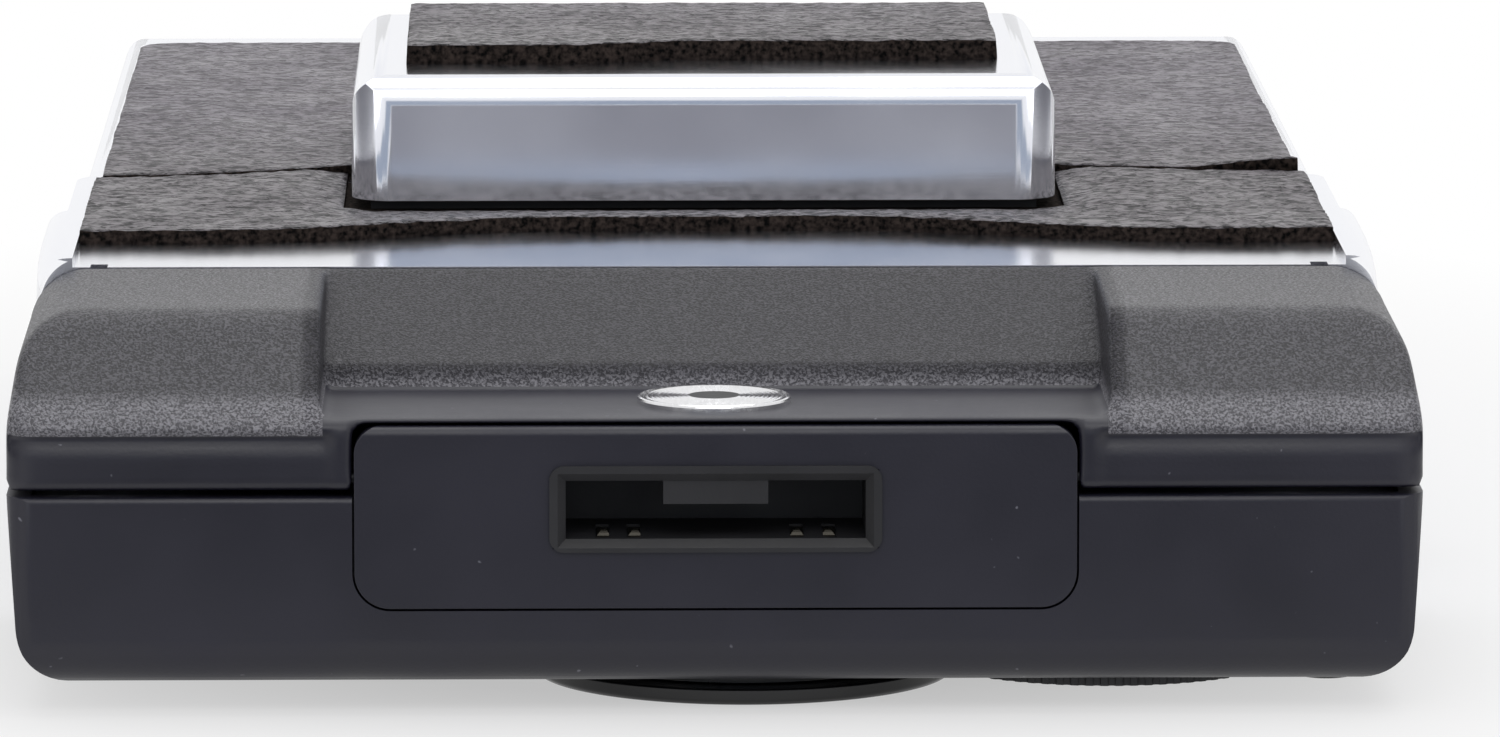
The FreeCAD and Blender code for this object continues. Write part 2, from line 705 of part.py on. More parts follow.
def rear_cover():
    profile = [(rear_start, hood_low, 1.0), (rear_start, cover_top),
               (length, cover_top, 4.0), (length, hood_low, 0.6)]
    solid = side_prism(profile, -rear_wall_outer, rear_wall_outer)
    solid = solid.common(front_prism([(-rear_wall_outer, 0), (rear_wall_outer, 0),
                                      (rear_wall_outer, cover_top, 2.2),
                                      (-rear_wall_outer, cover_top, 2.2)], 0, length + 1))
    solid = solid.common(plan_prism([(-rear_wall_outer, rear_start), (rear_wall_outer,
                                     rear_start), (rear_wall_outer, length, 4.0),
                                     (-rear_wall_outer, length, 4.0)], 0, cover_top + 1))
    hollow = box(-rear_wall_inner, rear_wall_inner, rear_start - 1, length - wall, 0,
                 plate_under)
    cover = solid.cut(hollow)
    lip = box(-rear_wall_inner, rear_wall_inner, rear_start, rear_start + 1.6,
              ridge_axis[1] + nose_r - 1.0, plate_under + 0.5)
    nose = ring_part(ridge_axis, nose_r - 1.0, nose_r, -rear_wall_inner + 0.6,
                     rear_wall_inner - 0.6, 86, 172)
    cover = cover.fuse([lip, nose])
    # ears down to the rear hinge
    ear = side_prism([(rear_axis[0] - 5, hood_low + 1), (rear_axis[0] - 4, rear_axis[1] - 3.4,
                                                         3.0),
                      (rear_axis[0] + 4, rear_axis[1] - 3.4, 3.0),
                      (rear_axis[0] + 5, hood_low + 1)], rear_wall_inner, rear_wall_outer)
    cover = with_twin(cover, ear)
    cover = without_twin(cover, rod_x(rear_wall_inner - 1, rear_wall_outer + 1, rear_axis,
                                      rear_pin_r + pin_play))
    front_ear = rod_x(rear_wall_inner, rear_wall_outer, ridge_axis, ear_r)
    cover = with_twin(cover, front_ear)
    cover = without_twin(cover, rod_x(rear_wall_inner - 1, rear_wall_outer + 1, ridge_axis,
                                      ridge_pin_r + pin_play))
    bed = box(-rear_leather_half - 0.05, rear_leather_half + 0.05, rear_start - 1,
              rear_leather_end + 0.05, bed_level, cover_top + 2)
    return cover.cut(bed)


def rear_leather():
    return plan_prism([(-rear_leather_half, rear_start + 1.0, 0.5),
                       (rear_leather_half, rear_start + 1.0, 0.5),
                       (rear_leather_half, rear_leather_end, 3.0),
                       (-rear_leather_half, rear_leather_end, 3.0)],
                      bed_level, bed_level + leather_thick)


def rear_mirror():
    """Large fixed mirror under the rear cover, narrower towards the lens."""
    low = plate_under - 1.6
    return plan_prism([(-24, rear_start + 14, 1.0), (24, rear_start + 14, 1.0),
                       (chamber_half - 6.6, length - 20, 1.0),
                       (6.6 - chamber_half, length - 20, 1.0)], low,
                      plate_under)


# ---------------------------------------------------------------- base
def base_shell():
    side = side_prism([(base_front, 0, 1.5), (length, 0, 1.5), (length, base_lip, 0.5),
                       (base_rear, base_lip), (base_rear, parting, 0.8),
                       (base_front + front_chamfer_run, parting),
                       (base_front, front_chamfer_low)], -half, half)
    plan = plan_prism([(-half, base_front, 1.5), (half, base_front, 1.5), (half, length, 6.0),
                       (-half, length, 6.0)], -1, parting + 1)
    front = front_prism([(-half, 0, 2.4), (half, 0, 2.4), (half, parting, 0.6),
                         (-half, parting, 0.6)], 0, length + 1)
    shell = side.common(plan).common(front)
    shell = shell.cut(box(-chamber_half, chamber_half, base_front - 1, chamber_rear,
                          floor_thick, parting + 1))
    shell = shell.cut(box(-door_half - 0.1, door_half + 0.1, base_front - 1, door_rear + 0.1,
                          -1, parting + 1))
    rear_bay = box(-chamber_half + 1.6, chamber_half - 1.6, chamber_rear + 1.6,
                   base_rear - 1.4, floor_thick, parting + 1)
    shell = shell.cut(rear_bay)
    # ledge that carries the deck
    ledge = box(chamber_half - 1.4, chamber_half + 0.2, door_rear + 1, chamber_rear,
                parting - deck_thick - 1.3, parting - deck_thick - 0.1)
    shell = with_twin(shell, ledge)
    # slots for the arms and for the ears of the rear cover
    arm_way = box(slot_inner, slot_outer, base_front - 1, arm_axis[0] + 8.5, 4.0, parting + 1)
    ear_way = box(rear_wall_inner - 0.3, rear_wall_outer + 0.4, rear_axis[0] - 8, length + 1,
                  base_lip, parting + 1)
    shell = without_twin(shell, arm_way)
    shell = without_twin(shell, ear_way)
    shell = without_twin(shell, rod_x(slot_outer - 1, half - 0.7, arm_axis, arm_pin_r))
    shell = without_twin(shell, rod_x(rear_wall_inner - 1.5, half - 0.7, rear_axis,
                                      rear_pin_r))
    # tripod bush, counter window and latch
    shell = shell.fuse(rod_z(0, tripod_back, 0.2, 7.0, 6.2).common(
        box(-7, 7, tripod_back - 6, tripod_back + 6.5, 0, 8)))
    shell = shell.cut(rod_z(0, tripod_back, -1, 6.0, bush_r))
    shell = shell.cut([rod_z(x, back, parting - screw_length, parting + 1, 1.3)
                       for x, back in base_screw_places])
    shell = shell.cut(rod_y(counter_x, counter_z, base_rear - 3, base_rear + 1, window_r))
    shell = shell.cut(rod_y(counter_x, counter_z, base_rear - 5.0, base_rear - 1.39, 7.4))
    return shell.cut(box(half - 1.6, half + 1, latch_back - 0.1, latch_back + latch_length
                         + latch_travel + 0.1, latch_low - 0.1, latch_low + 4.1))


bush_r = 4.6
counter_x = 27.0
counter_z = 8.8
window_r = 3.0
counter_r = 5.6
latch_back = 66.0
latch_length = 9.0
latch_travel = 3.0
latch_low = 6.0
screw_length = 6.0
motor_length = 23.0
motor_r = 5.2
motor_z = 7.6
base_screw_places = [(x, back) for x in (4.5 - half, half - 4.5)
                     for back in (90.0, length - 33.0)]


def tripod_bush():
    bush = rod_z(0, tripod_back, 0, 6.0, bush_r)
    return bush.cut(rod_z(0, tripod_back, -1, 7, tripod_r))


gate_half = chamber_half - 5.1
gate_start = door_rear + 12.0
gate_end = chamber_rear - 9.0


def chamber_deck():
    deck = box(-chamber_half + 0.1, chamber_half - 0.1, door_rear + 0.3, chamber_rear - 0.1,
               parting - deck_thick - 0.1, parting - 0.1)
    window = box(-gate_half, gate_half, gate_start, gate_end, 0, 20)
    seat = box(-gate_half - 1.5, gate_half + 1.5, gate_start - 1.5, gate_end + 1.5,
               parting - 1.2, parting + 1)
    return deck.cut([window, seat])


def fresnel_screen():
    return box(-gate_half - 1.4, gate_half + 1.4, gate_start - 1.4, gate_end + 1.4,
               parting - 1.2, parting - 0.2)


def rear_lid():
    lid = box(-chamber_half + 1.7, chamber_half - 1.7, chamber_rear + 1.7, base_rear - 1.5,
              parting - 1.5, parting - 0.1)
    return lid


def lid_posts():
    """Stand-offs under the rear lid."""
    return pair(rod_z(chamber_half - 5.6, rear_axis[0] - 1, floor_thick, parting - 1.5, 2.0))


def film_door():
    low = 0.0
    high = parting - 0.2
    outer = side_prism([(base_front, low, 1.5), (door_rear, low), (door_rear, high),
                        (base_front + front_chamfer_run, high),
                        (base_front, front_chamfer_low)], -door_half, door_half)
    inner = side_prism([(base_front + wall, door_floor), (door_rear + 1, door_floor),
                        (door_rear + 1, high - 1.4),
                        (base_front + front_chamfer_run + 0.9, high - 1.4),
                        (base_front + wall, front_chamfer_low - 0.8)],
                       -door_half + 2.4, door_half - 2.4)
    door = outer.cut(inner)
    exit_slot = box(3.2 - door_half, door_half - 3.2, base_front - 1, base_front + 3,
                    roller_mid - 0.9, roller_mid + 0.9)
    door = door.cut(exit_slot)
    for height in (roller_mid - roller_r - film_gap / 2, roller_mid + roller_r + film_gap / 2):
        door = door.cut(rod_x(-door_half + 0.8, door_half - 0.8, (roller_back, height),
                              journal_r + pin_play))
    return door


door_floor = 1.4
roller_mid = door_floor + 0.35 + 2 * roller_r + film_gap / 2
journal_r = 1.2


def roller(height):
    body = rod_x(-door_half + 2.9, door_half - 2.9, (roller_back, height), roller_r)
    return body.fuse(rod_x(-door_half + 1.0, door_half - 1.0, (roller_back, height), journal_r))


def door_latch():
    latch = box(half - 1.6, half - 0.2, latch_back, latch_back + latch_length, latch_low,
                latch_low + 4.0)
    ribs = [box(half - 0.5, half, latch_back + 1.5 * i + 0.4, latch_back + 1.5 * i + 1.1,
                latch_low - 0.5, latch_low + 4.5) for i in range(1, 6)]
    return latch.cut(ribs)


def motor():
    left = 9.6 - chamber_half
    right = left + motor_length
    body = rod_x(left, right, (rear_axis[0], motor_z), motor_r)
    foot = box(left + 2, right - 2, rear_axis[0] - 4, rear_axis[0] + 4, floor_thick,
               motor_z - motor_r + 2)
    shaft = rod_x(right, right + 3, (rear_axis[0], motor_z), 1.0)
    return body.fuse([foot, shaft])


def counter_window():
    return rod_y(counter_x, counter_z, base_rear - 1.3, base_rear - 0.2, window_r)


def counter_wheel():
    wheel = rod_y(counter_x, counter_z, base_rear - 2.6, base_rear - 1.7, counter_r)
    return wheel.cut(rod_y(counter_x, counter_z, 0, length, 1.0 + pin_play))


def counter_post():
    """Stud and bracket that carry the counter wheel."""
    post = rod_y(counter_x, counter_z, base_rear - 5.6, base_rear - 1.6, 1.0)
    bracket = box(counter_x - 4, counter_x + 4, base_rear - 5.6, base_rear - 4.4, floor_thick,
                  counter_z + 3)
    return post.fuse(bracket)


def base_screws():
    """Four screws down through the rims of the base."""
    return Part.makeCompound([rod_z(x, back, parting - screw_length, parting - 0.1, 1.3)
                              for x, back in base_screw_places])


def rear_pins():
    return pair(rod_x(rear_wall_inner - 1.5, half - 0.7, rear_axis, rear_pin_r))


def arm_pins():
    return pair(rod_x(arm_inner - 0.2, half - 0.7, arm_axis, arm_pin_r))


# ---------------------------------------------------------------- folded bellows
def bellows_rear():
    outer = box(0.6 - chamber_half, chamber_half - 0.6, door_rear + 2, chamber_rear,
                parting + 0.2, parting + 3.0)
    return outer.cut(box(5.6 - chamber_half, chamber_half - 5.6, door_rear + 12,
                         chamber_rear - 8, 0, 40))


def bellows_front():
    outer = box(-recess_half + 0.8, recess_half - 0.8, shelf_rear, housing_rear - 0.5,
                parting + 0.2, parting + 4.4)
    return outer.cut(box(-16, 20, shelf_rear + 4, housing_rear - 8, 0, 40))


# ---------------------------------------------------------------- build
pieces = {
    "lens_housing": lens_housing,
    "flash_panel": flash_panel,
    "flash_socket": flash_socket,
    "flash_contacts": flash_contacts,
    "housing_back": housing_back,
    "rear_element": rear_element,
    "housing_arms": housing_arms,
    "shutter_plate": shutter_plate,
    "blade_guides": blade_guides,
    "shutter_blade_left": lambda: shutter_blade(-1, 0),
    "shutter_blade_right": lambda: shutter_blade(1, 1),
    "wheel_spindles": wheel_spindles,
    "lens_ring": lens_ring,
    "front_element": front_element,
    "focus_wheel": focus_wheel,
    "exposure_wheel": exposure_wheel,
    "eye_window": eye_window,
    "shutter_button": shutter_button,
    "button_spring": button_spring,
    "hood": hood,
    "hood_disc": hood_disc,
    "nose_pins": nose_pins,
    "front_cover": front_cover,
    "front_leather": front_leather,
    "cover_screws": cover_screws,
    "ridge_pins": ridge_pins,
    "viewfinder_cap": viewfinder_cap,
    "viewfinder_leather": viewfinder_leather,
    "viewfinder_frame": viewfinder_frame,
    "eye_lens": eye_lens,
    "finder_mirror": finder_mirror,
    "finder_pins": finder_pins,
    "rear_cover": rear_cover,
    "rear_leather": rear_leather,
    "rear_mirror": rear_mirror,
    "base_shell": base_shell,
    "tripod_bush": tripod_bush,
    "chamber_deck": chamber_deck,
    "fresnel_screen": fresnel_screen,
    "rear_lid": rear_lid,
    "lid_posts": lid_posts,
    "film_door": film_door,
    "roller_lower": lambda: roller(roller_mid - roller_r - film_gap / 2),
    "roller_upper": lambda: roller(roller_mid + roller_r + film_gap / 2),
    "door_latch": door_latch,
    "motor": motor,
    "counter_window": counter_window,
    "counter_wheel": counter_wheel,
    "counter_post": counter_post,
    "base_screws": base_screws,
    "rear_pins": rear_pins,
    "arm_pins": arm_pins,
    "bellows_rear": bellows_rear,
    "bellows_front": bellows_front,
}
for name, make in pieces.items():
    save(name, make())
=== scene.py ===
# %% [markdown]
# # A folding instant camera, folded flat
# The real object is a flat slab: two chrome covers with leather on them, a lens housing of
# moulded plastic at the front end, and a base that holds the film. The CAD frame already holds
# each piece at its real size, so this lesson does what CAD does not: it rounds the edges as a
# mould and a polishing wheel leave them, cuts the leather by hand, folds the bellows, and gives
# every surface its finish.

# %% Load the frame
import bpy
import bmesh
import json
import math
import numpy as np
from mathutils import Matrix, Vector, noise


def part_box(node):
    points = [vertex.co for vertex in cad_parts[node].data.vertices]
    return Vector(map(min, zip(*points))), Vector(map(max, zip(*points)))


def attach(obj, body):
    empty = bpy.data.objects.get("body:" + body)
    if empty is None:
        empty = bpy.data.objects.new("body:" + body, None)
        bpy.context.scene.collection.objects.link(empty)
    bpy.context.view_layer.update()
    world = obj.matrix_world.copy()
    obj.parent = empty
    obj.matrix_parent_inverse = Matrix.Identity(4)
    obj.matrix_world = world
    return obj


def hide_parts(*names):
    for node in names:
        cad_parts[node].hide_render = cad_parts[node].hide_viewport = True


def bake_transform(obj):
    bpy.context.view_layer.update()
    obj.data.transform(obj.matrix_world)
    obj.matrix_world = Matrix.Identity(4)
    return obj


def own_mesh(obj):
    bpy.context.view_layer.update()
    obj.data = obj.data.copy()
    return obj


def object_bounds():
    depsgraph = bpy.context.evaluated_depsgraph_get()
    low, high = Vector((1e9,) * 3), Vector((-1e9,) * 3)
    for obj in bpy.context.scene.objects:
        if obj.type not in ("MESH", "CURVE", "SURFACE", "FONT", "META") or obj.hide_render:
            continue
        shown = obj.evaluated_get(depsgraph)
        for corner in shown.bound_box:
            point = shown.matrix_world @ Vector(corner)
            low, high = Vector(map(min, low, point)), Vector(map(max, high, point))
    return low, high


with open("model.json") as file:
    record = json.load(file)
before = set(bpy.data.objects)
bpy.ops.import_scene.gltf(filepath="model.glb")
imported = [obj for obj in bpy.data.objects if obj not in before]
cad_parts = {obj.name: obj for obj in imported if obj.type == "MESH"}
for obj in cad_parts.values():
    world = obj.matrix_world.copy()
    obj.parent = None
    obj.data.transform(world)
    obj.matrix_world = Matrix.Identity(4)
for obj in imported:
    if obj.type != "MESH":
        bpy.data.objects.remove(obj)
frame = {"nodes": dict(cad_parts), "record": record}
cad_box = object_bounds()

MM = 0.001
nodes = frame["nodes"]
body_of_node = {node: body for body, members in frame["record"]["behaviour"]["bodies"].items()
                for node in members}
slot_of_node = {part["node"]: part["material_slot"] for part in frame["record"]["subparts"]}

# %% [markdown]
# ## Places
# A maker measures this camera from its front end face. `at` turns such a measure, in
# millimetres across, back and up, into the frame's metres, so that every place below reads like
# one on a drawing. Sizes that belong to a CAD piece are read from that piece's own box.

# %% Measures from the front end
front_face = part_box("flash_panel")[0].y


def at(x, back, z):
    """A point measured in mm: across from the middle, back from the front face, up."""
    return Vector((x * MM, front_face + back * MM, z * MM))


def span(node):
    """Lowest and highest corner of a CAD node in the same mm measures."""
    low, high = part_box(node)
    shift = Vector((0, front_face, 0))
    return (low - shift) / MM, (high - shift) / MM


for name in ("hood", "front_cover", "viewfinder_cap", "rear_cover"):
    low, high = span(name)
    print(name, "runs", round(low.y, 1), "to", round(high.y, 1), "mm back, top at",
          round(high.z, 1))

# %% [markdown]
# ## The camera that looks at it
# The view is low, from the front end and a little to the left of the middle. It stands over
# 800 mm away with a long lens, which is why the sides draw together only a little.

# %% Camera
view_distance = 834.5
view_height = 147.6
view_side = -12.2
view_down = math.radians(8.304)
view_right = math.radians(1.0095)
camera_data = bpy.data.cameras.new("camera")
camera_data.sensor_width = 36
camera_data.lens = 276.8
camera_data.clip_end = 20
camera = bpy.data.objects.new("camera", camera_data)
bpy.context.scene.collection.objects.link(camera)
camera.location = at(view_side, -view_distance, view_height)
camera.rotation_euler = (math.pi / 2 - view_down, 0, -view_right)
bpy.context.scene.camera = camera
print("camera at", [round(v, 3) for v in camera.location])

# %% [markdown]
# ## Helpers for finishes
# Colours are written as a paint chart gives them, in sRGB hex, and turned to the linear values
# that the renderer adds light with. Node trees are built with a few small functions: `add_node`
# adds a node and fills or links its sockets, `mixed` and `ranged` make the two kinds that every
# finish needs, and `wire` links them to the shader. `per_mm` turns the size of a grain into a
# texture scale.

# %% Colour and node helpers
def linear(hex_colour):
    """sRGB hex to a linear RGBA tuple."""
    values = [int(hex_colour[i:i + 2], 16) / 255 for i in (1, 3, 5)]
    return tuple(v / 12.92 if v <= 0.04045 else ((v + 0.055) / 1.055) ** 2.4
                 for v in values) + (1.0,)


def add_node(tree, kind, settings=None, **inputs):
    """Adds one node. Inputs are given by name, or as i0, i1 and so on by number."""
    node = tree.nodes.new(kind)
    for key, value in (settings or {}).items():
        setattr(node, key, value)
    for key, value in inputs.items():
        numbered = key[0] == "i" and key[1:].isdigit()
        socket = node.inputs[int(key[1:]) if numbered else key.replace("_", " ")]
        if isinstance(value, bpy.types.NodeSocket):
            tree.links.new(value, socket)
        else:
            socket.default_value = value
    return node


def new_material(name, **sockets):
    """A material and its tree; sockets of its Principled shader are set by name."""
    material = bpy.data.materials.new(name)
    material.use_nodes = True
    shader = material.node_tree.nodes["Principled BSDF"]
    for key, value in sockets.items():
        shader.inputs[key.replace("_", " ")].default_value = value
    return material, material.node_tree, shader


def mixed(tree, share, first, second, how="MIX"):
    """Colour between two colours, each a hex text or a socket, by a share from 0 to 1."""
    first, second = (linear(c) if isinstance(c, str) else c for c in (first, second))
    return add_node(tree, "ShaderNodeMix", {"data_type": "RGBA", "blend_type": how}, i0=share,
                    i6=first, i7=second).outputs[2]


def ranged(tree, value, **limits):
    """A value moved from one range to another."""
    return add_node(tree, "ShaderNodeMapRange", Value=value, **limits).outputs["Result"]


def wire(shader, **sources):
    """Links a source to each named socket of the shader."""
    for key, source in sources.items():
        shader.id_data.links.new(source, shader.inputs[key.replace("_", " ")])


def per_mm(size):
    """Scale of a texture, in object space in metres, whose features are this many mm."""
    return 1 / (size * MM)


print("a 0.5 mm grain has scale", per_mm(0.5))

# %% [markdown]
# ## Moulded ABS, satin
# The lens housing and the flash panel are injection-moulded ABS from a finely blasted mould. To
# the eye that is a very dark blue-black with a soft wide shine, a faint cloudiness where it has
# been handled, and a few specks of dust. The blasted skin is about 0.1 mm grit, too fine for a
# whole-camera view, so it is drawn at 0.3 mm and kept shallow.

# %% Moulded ABS
moulded_abs, tree, shader = new_material("moulded_abs_satin", IOR=1.53)
place = add_node(tree, "ShaderNodeTexCoord").outputs["Object"]
cloud = add_node(tree, "ShaderNodeTexNoise", Vector=place, Scale=per_mm(11), Detail=4.0)
grit = add_node(tree, "ShaderNodeTexNoise", Vector=place, Scale=per_mm(0.3), Detail=2.0)
dust = add_node(tree, "ShaderNodeTexNoise", Vector=place, Scale=per_mm(0.8), Detail=1.0)
speck = ranged(tree, dust.outputs["Fac"], From_Min=0.77, From_Max=0.82)
tone = mixed(tree, cloud.outputs["Fac"], "#151520", "#1c1b2b")
dusty = mixed(tree, speck, tone, "#70707a")
shine = ranged(tree, cloud.outputs["Fac"], From_Min=0.3, From_Max=0.7, To_Min=0.36, To_Max=0.5)
skin = add_node(tree, "ShaderNodeBump", Strength=0.35, Distance=0.04 * MM,
                Height=grit.outputs["Fac"])
wire(shader, Base_Color=dusty, Roughness=shine, Normal=skin.outputs["Normal"])
print("made", moulded_abs.name)

# %% [markdown]
# ## Moulded ABS, pebbled
# The hood comes from a mould etched with a pebble grain, so that fingers don't mark it. The
# pebbles are worm-shaped, about 0.3 mm from one to the next, and their tops catch the light while
# the grooves stay dark. Noise with some distortion gives such worms, and the same noise drives
# the bump, the roughness and the colour, which is painted paler on the tops and darker in the
# grooves: a painted highlight and painted shade. The ramp in the middle is painted darker,
# painted shade for the weaker sheen it gets, and the low edge all round and the riser at the foot
# of the ramp are painted paler, a painted highlight.

# %% Pebbled ABS
ramp_half = 30.0
ramp_side = 0.6
# Below these heights the hood's colour turns to a painted highlight on the lip and the riser.
lip_highlight_above = 23.9
lip_highlight_below = 22.9
pebbled_abs, tree, shader = new_material("moulded_abs_pebbled", IOR=1.53)
place = add_node(tree, "ShaderNodeTexCoord").outputs["Object"]
worms = add_node(tree, "ShaderNodeTexNoise", Vector=place, Scale=per_mm(0.19), Detail=1.0,
                 Roughness=0.4, Distortion=0.6)
relief = ranged(tree, worms.outputs["Fac"], From_Min=0.38, From_Max=0.62)
# Pebble tops are painted paler and grooves darker: painted highlight and painted shade.
tone = mixed(tree, relief, "#1c1b20", "#4d4c53")
place_axes = add_node(tree, "ShaderNodeSeparateXYZ", Vector=place)
from_middle = add_node(tree, "ShaderNodeMath", {"operation": "ABSOLUTE"},
                       i0=place_axes.outputs["X"])
on_ramp = ranged(tree, from_middle.outputs["Value"], From_Min=(ramp_half + ramp_side) * MM,
                 From_Max=ramp_half * MM)
# The ramp is painted darker: painted shade that stands for the weaker sheen it gets.
ramp_shade_tone = mixed(tree, on_ramp, tone, "#bebdc4", how="MULTIPLY")
# The low edge and the riser of the ramp are painted paler: a painted highlight.
lip_highlight_share = ranged(tree, place_axes.outputs["Z"], From_Min=lip_highlight_above * MM,
                  From_Max=lip_highlight_below * MM)
lip_highlight_tone = mixed(tree, relief, "#403f45", "#85848b")
tone_with_painted_light = mixed(tree, lip_highlight_share, ramp_shade_tone, lip_highlight_tone)
shine = ranged(tree, relief, To_Min=0.52, To_Max=0.34)
pebbles = add_node(tree, "ShaderNodeBump", Strength=0.7, Distance=0.07 * MM,
                   Height=relief)
gloss = ranged(tree, on_ramp, To_Min=0.5, To_Max=0.28)
wire(shader, Base_Color=tone_with_painted_light, Specular_IOR_Level=gloss, Roughness=shine,
     Normal=pebbles.outputs["Normal"])
print("made", pebbled_abs.name)

# %% [markdown]
# ## Black plastics
# Inner frames, wheels and the film door are plain black moulding. The lens ring and the latch
# are glossier. Both get a slight unevenness of shine, because no moulding is perfectly even.

# %% Black ABS, matt and glossy
black_finishes = {}
for name, colour, low_shine, high_shine in (("black_abs_matt", "#232328", 0.45, 0.62),
                                            ("black_abs_glossy", "#131315", 0.16, 0.3)):
    material, tree, shader = new_material(name, IOR=1.53)
    place = add_node(tree, "ShaderNodeTexCoord").outputs["Object"]
    cloud = add_node(tree, "ShaderNodeTexNoise", Vector=place, Scale=per_mm(6), Detail=5.0)
    grit = add_node(tree, "ShaderNodeTexNoise", Vector=place, Scale=per_mm(0.35), Detail=2.0)
    tone = mixed(tree, cloud.outputs["Fac"], "#101011", colour)
    shine = ranged(tree, cloud.outputs["Fac"], From_Min=0.3, From_Max=0.7, To_Min=low_shine,
                   To_Max=high_shine)
    skin = add_node(tree, "ShaderNodeBump", Strength=low_shine, Distance=0.03 * MM,
                    Height=grit.outputs["Fac"])
    wire(shader, Base_Color=tone, Roughness=shine, Normal=skin.outputs["Normal"])
    black_finishes[name] = material
print("made", ", ".join(black_finishes))

# %% [markdown]
# ## Satin chrome plate
# The covers are plated and then lightly brushed. The eye sees a cool, nearly white metal that
# mirrors large soft shapes, with hair-fine brushing lines along the camera's width and slight
# smudges. Real brushing lines are some 0.02 mm wide; they are drawn at 0.15 mm, long and faint.

# %% Satin chrome
satin_chrome, tree, shader = new_material("chrome_plate_satin", Metallic=1.0)
place = add_node(tree, "ShaderNodeTexCoord").outputs["Object"]
smudge = add_node(tree, "ShaderNodeTexNoise", Vector=place, Scale=per_mm(14), Detail=5.0)
along = add_node(tree, "ShaderNodeMapping", Vector=place, Scale=(per_mm(6), per_mm(0.15),
                                                                 per_mm(0.15)))
hairs = add_node(tree, "ShaderNodeTexNoise", Vector=along.outputs["Vector"], Scale=1.0,
                 Detail=3.0)
tone = mixed(tree, smudge.outputs["Fac"], "#e2e4ec", "#eeeff5")
shine = ranged(tree, smudge.outputs["Fac"], From_Min=0.3, From_Max=0.7, To_Min=0.12, To_Max=0.18)
brushing = add_node(tree, "ShaderNodeBump", Strength=0.06, Distance=0.02 * MM,
                    Height=hairs.outputs["Fac"])
wire(shader, Base_Color=tone, Roughness=shine, Normal=brushing.outputs["Normal"])
print("made", satin_chrome.name)

# %% [markdown]
# ## Small metal pieces
# Screws and arms are bright steel, and the pins by the flash panel are blackened so that they
# don't glint in its gap. The flash contacts are painted a dark grey, painted shade that keeps
# their glints dim in the shaded slot. The tripod bush is turned brass, and the little disc on the
# hood is polished metal. They share one recipe: a metal colour, fine scratches and a shine that
# varies along them.

# %% Steel, brass and polished metal
metal_finishes = {}
for name, dull, bright, low_shine, high_shine in (
        ("steel_ground", "#8b8c90", "#a8a9ac", 0.28, 0.42),
        ("steel_blackened", "#1a1a1c", "#29292b", 0.35, 0.5),
        # The contact metal is painted dark: painted shade for the shaded slot.
        ("contact_alloy_dull", "#35332f", "#54514b", 0.42, 0.55),
        ("brass_turned", "#a98743", "#c9a75e", 0.25, 0.4),
        ("metal_polished", "#d8d8da", "#ececee", 0.1, 0.24)):
    material, tree, shader = new_material(name, Metallic=1.0)
    place = add_node(tree, "ShaderNodeTexCoord").outputs["Object"]
    stretched = add_node(tree, "ShaderNodeMapping", Vector=place,
                         Scale=(per_mm(0.25), per_mm(2.5), per_mm(0.25)))
    scratches = add_node(tree, "ShaderNodeTexNoise", Vector=stretched.outputs["Vector"],
                         Scale=1.0, Detail=4.0, Distortion=0.6)
    tone = mixed(tree, scratches.outputs["Fac"], dull, bright)
    shine = ranged(tree, scratches.outputs["Fac"], From_Min=0.3, From_Max=0.7, To_Min=low_shine,
                   To_Max=high_shine)
    marks = add_node(tree, "ShaderNodeBump", Strength=0.15, Distance=0.02 * MM,
                     Height=scratches.outputs["Fac"])
    wire(shader, Base_Color=tone, Roughness=shine, Normal=marks.outputs["Normal"])
    metal_finishes[name] = material
print("made", ", ".join(metal_finishes))

# %% [markdown]
# ## Leather, and its cut edge
# The panels are dyed cowhide, about 1.3 mm thick, pressed flat. The grain side is covered in
# wrinkles some 0.8 mm apart. Their tops are waxed and shine more than the grooves between them,
# and their colour is painted paler than the grooves: a painted highlight on the tops and painted
# shade in the grooves. The rear panel is painted paler, a painted sheen. The larger creases are
# cut into the mesh further down. The cut edge is raw: dark brown fibres that hardly shine at all.

# %% Leather, grain side
leather_grain, tree, shader = new_material("leather_dyed_grain", IOR=1.45)
place = add_node(tree, "ShaderNodeTexCoord").outputs["Object"]
across = add_node(tree, "ShaderNodeMapping", Vector=place,
                  Scale=(per_mm(0.9), per_mm(0.75), per_mm(0.5)))
wrinkles = add_node(tree, "ShaderNodeTexNoise", Vector=across.outputs["Vector"], Scale=1.0,
                    Detail=2.0, Roughness=0.55, Distortion=0.6)
patch = add_node(tree, "ShaderNodeTexNoise", Vector=place, Scale=per_mm(9), Detail=4.0)
relief = ranged(tree, wrinkles.outputs["Fac"], From_Min=0.38, From_Max=0.6)
back_axis = add_node(tree, "ShaderNodeSeparateXYZ", Vector=place).outputs["Y"]
# The rear panel is painted paler: a painted sheen.
rear_sheen_share = ranged(tree, back_axis, From_Min=-0.014, From_Max=0.03)
# Wrinkle tops are painted paler and grooves darker: painted highlight and painted shade.
tone = mixed(tree, relief, "#1a181b", "#6d686c")
rear_sheen_tone = mixed(tree, relief, "#4b474d", "#736e77")
panel = mixed(tree, rear_sheen_share, tone, rear_sheen_tone)
worn = mixed(tree, patch.outputs["Fac"], panel, "#d0cbd2", how="MULTIPLY")
shine = ranged(tree, patch.outputs["Fac"], From_Min=0.3, From_Max=0.7, To_Min=0.34, To_Max=0.48)
skin = add_node(tree, "ShaderNodeBump", Strength=0.9, Distance=0.16 * MM,
                Height=relief)
wax = ranged(tree, relief, To_Min=0.12, To_Max=0.62)
wire(shader, Base_Color=worn, Specular_IOR_Level=wax, Roughness=shine,
     Normal=skin.outputs["Normal"])
print("made", leather_grain.name)

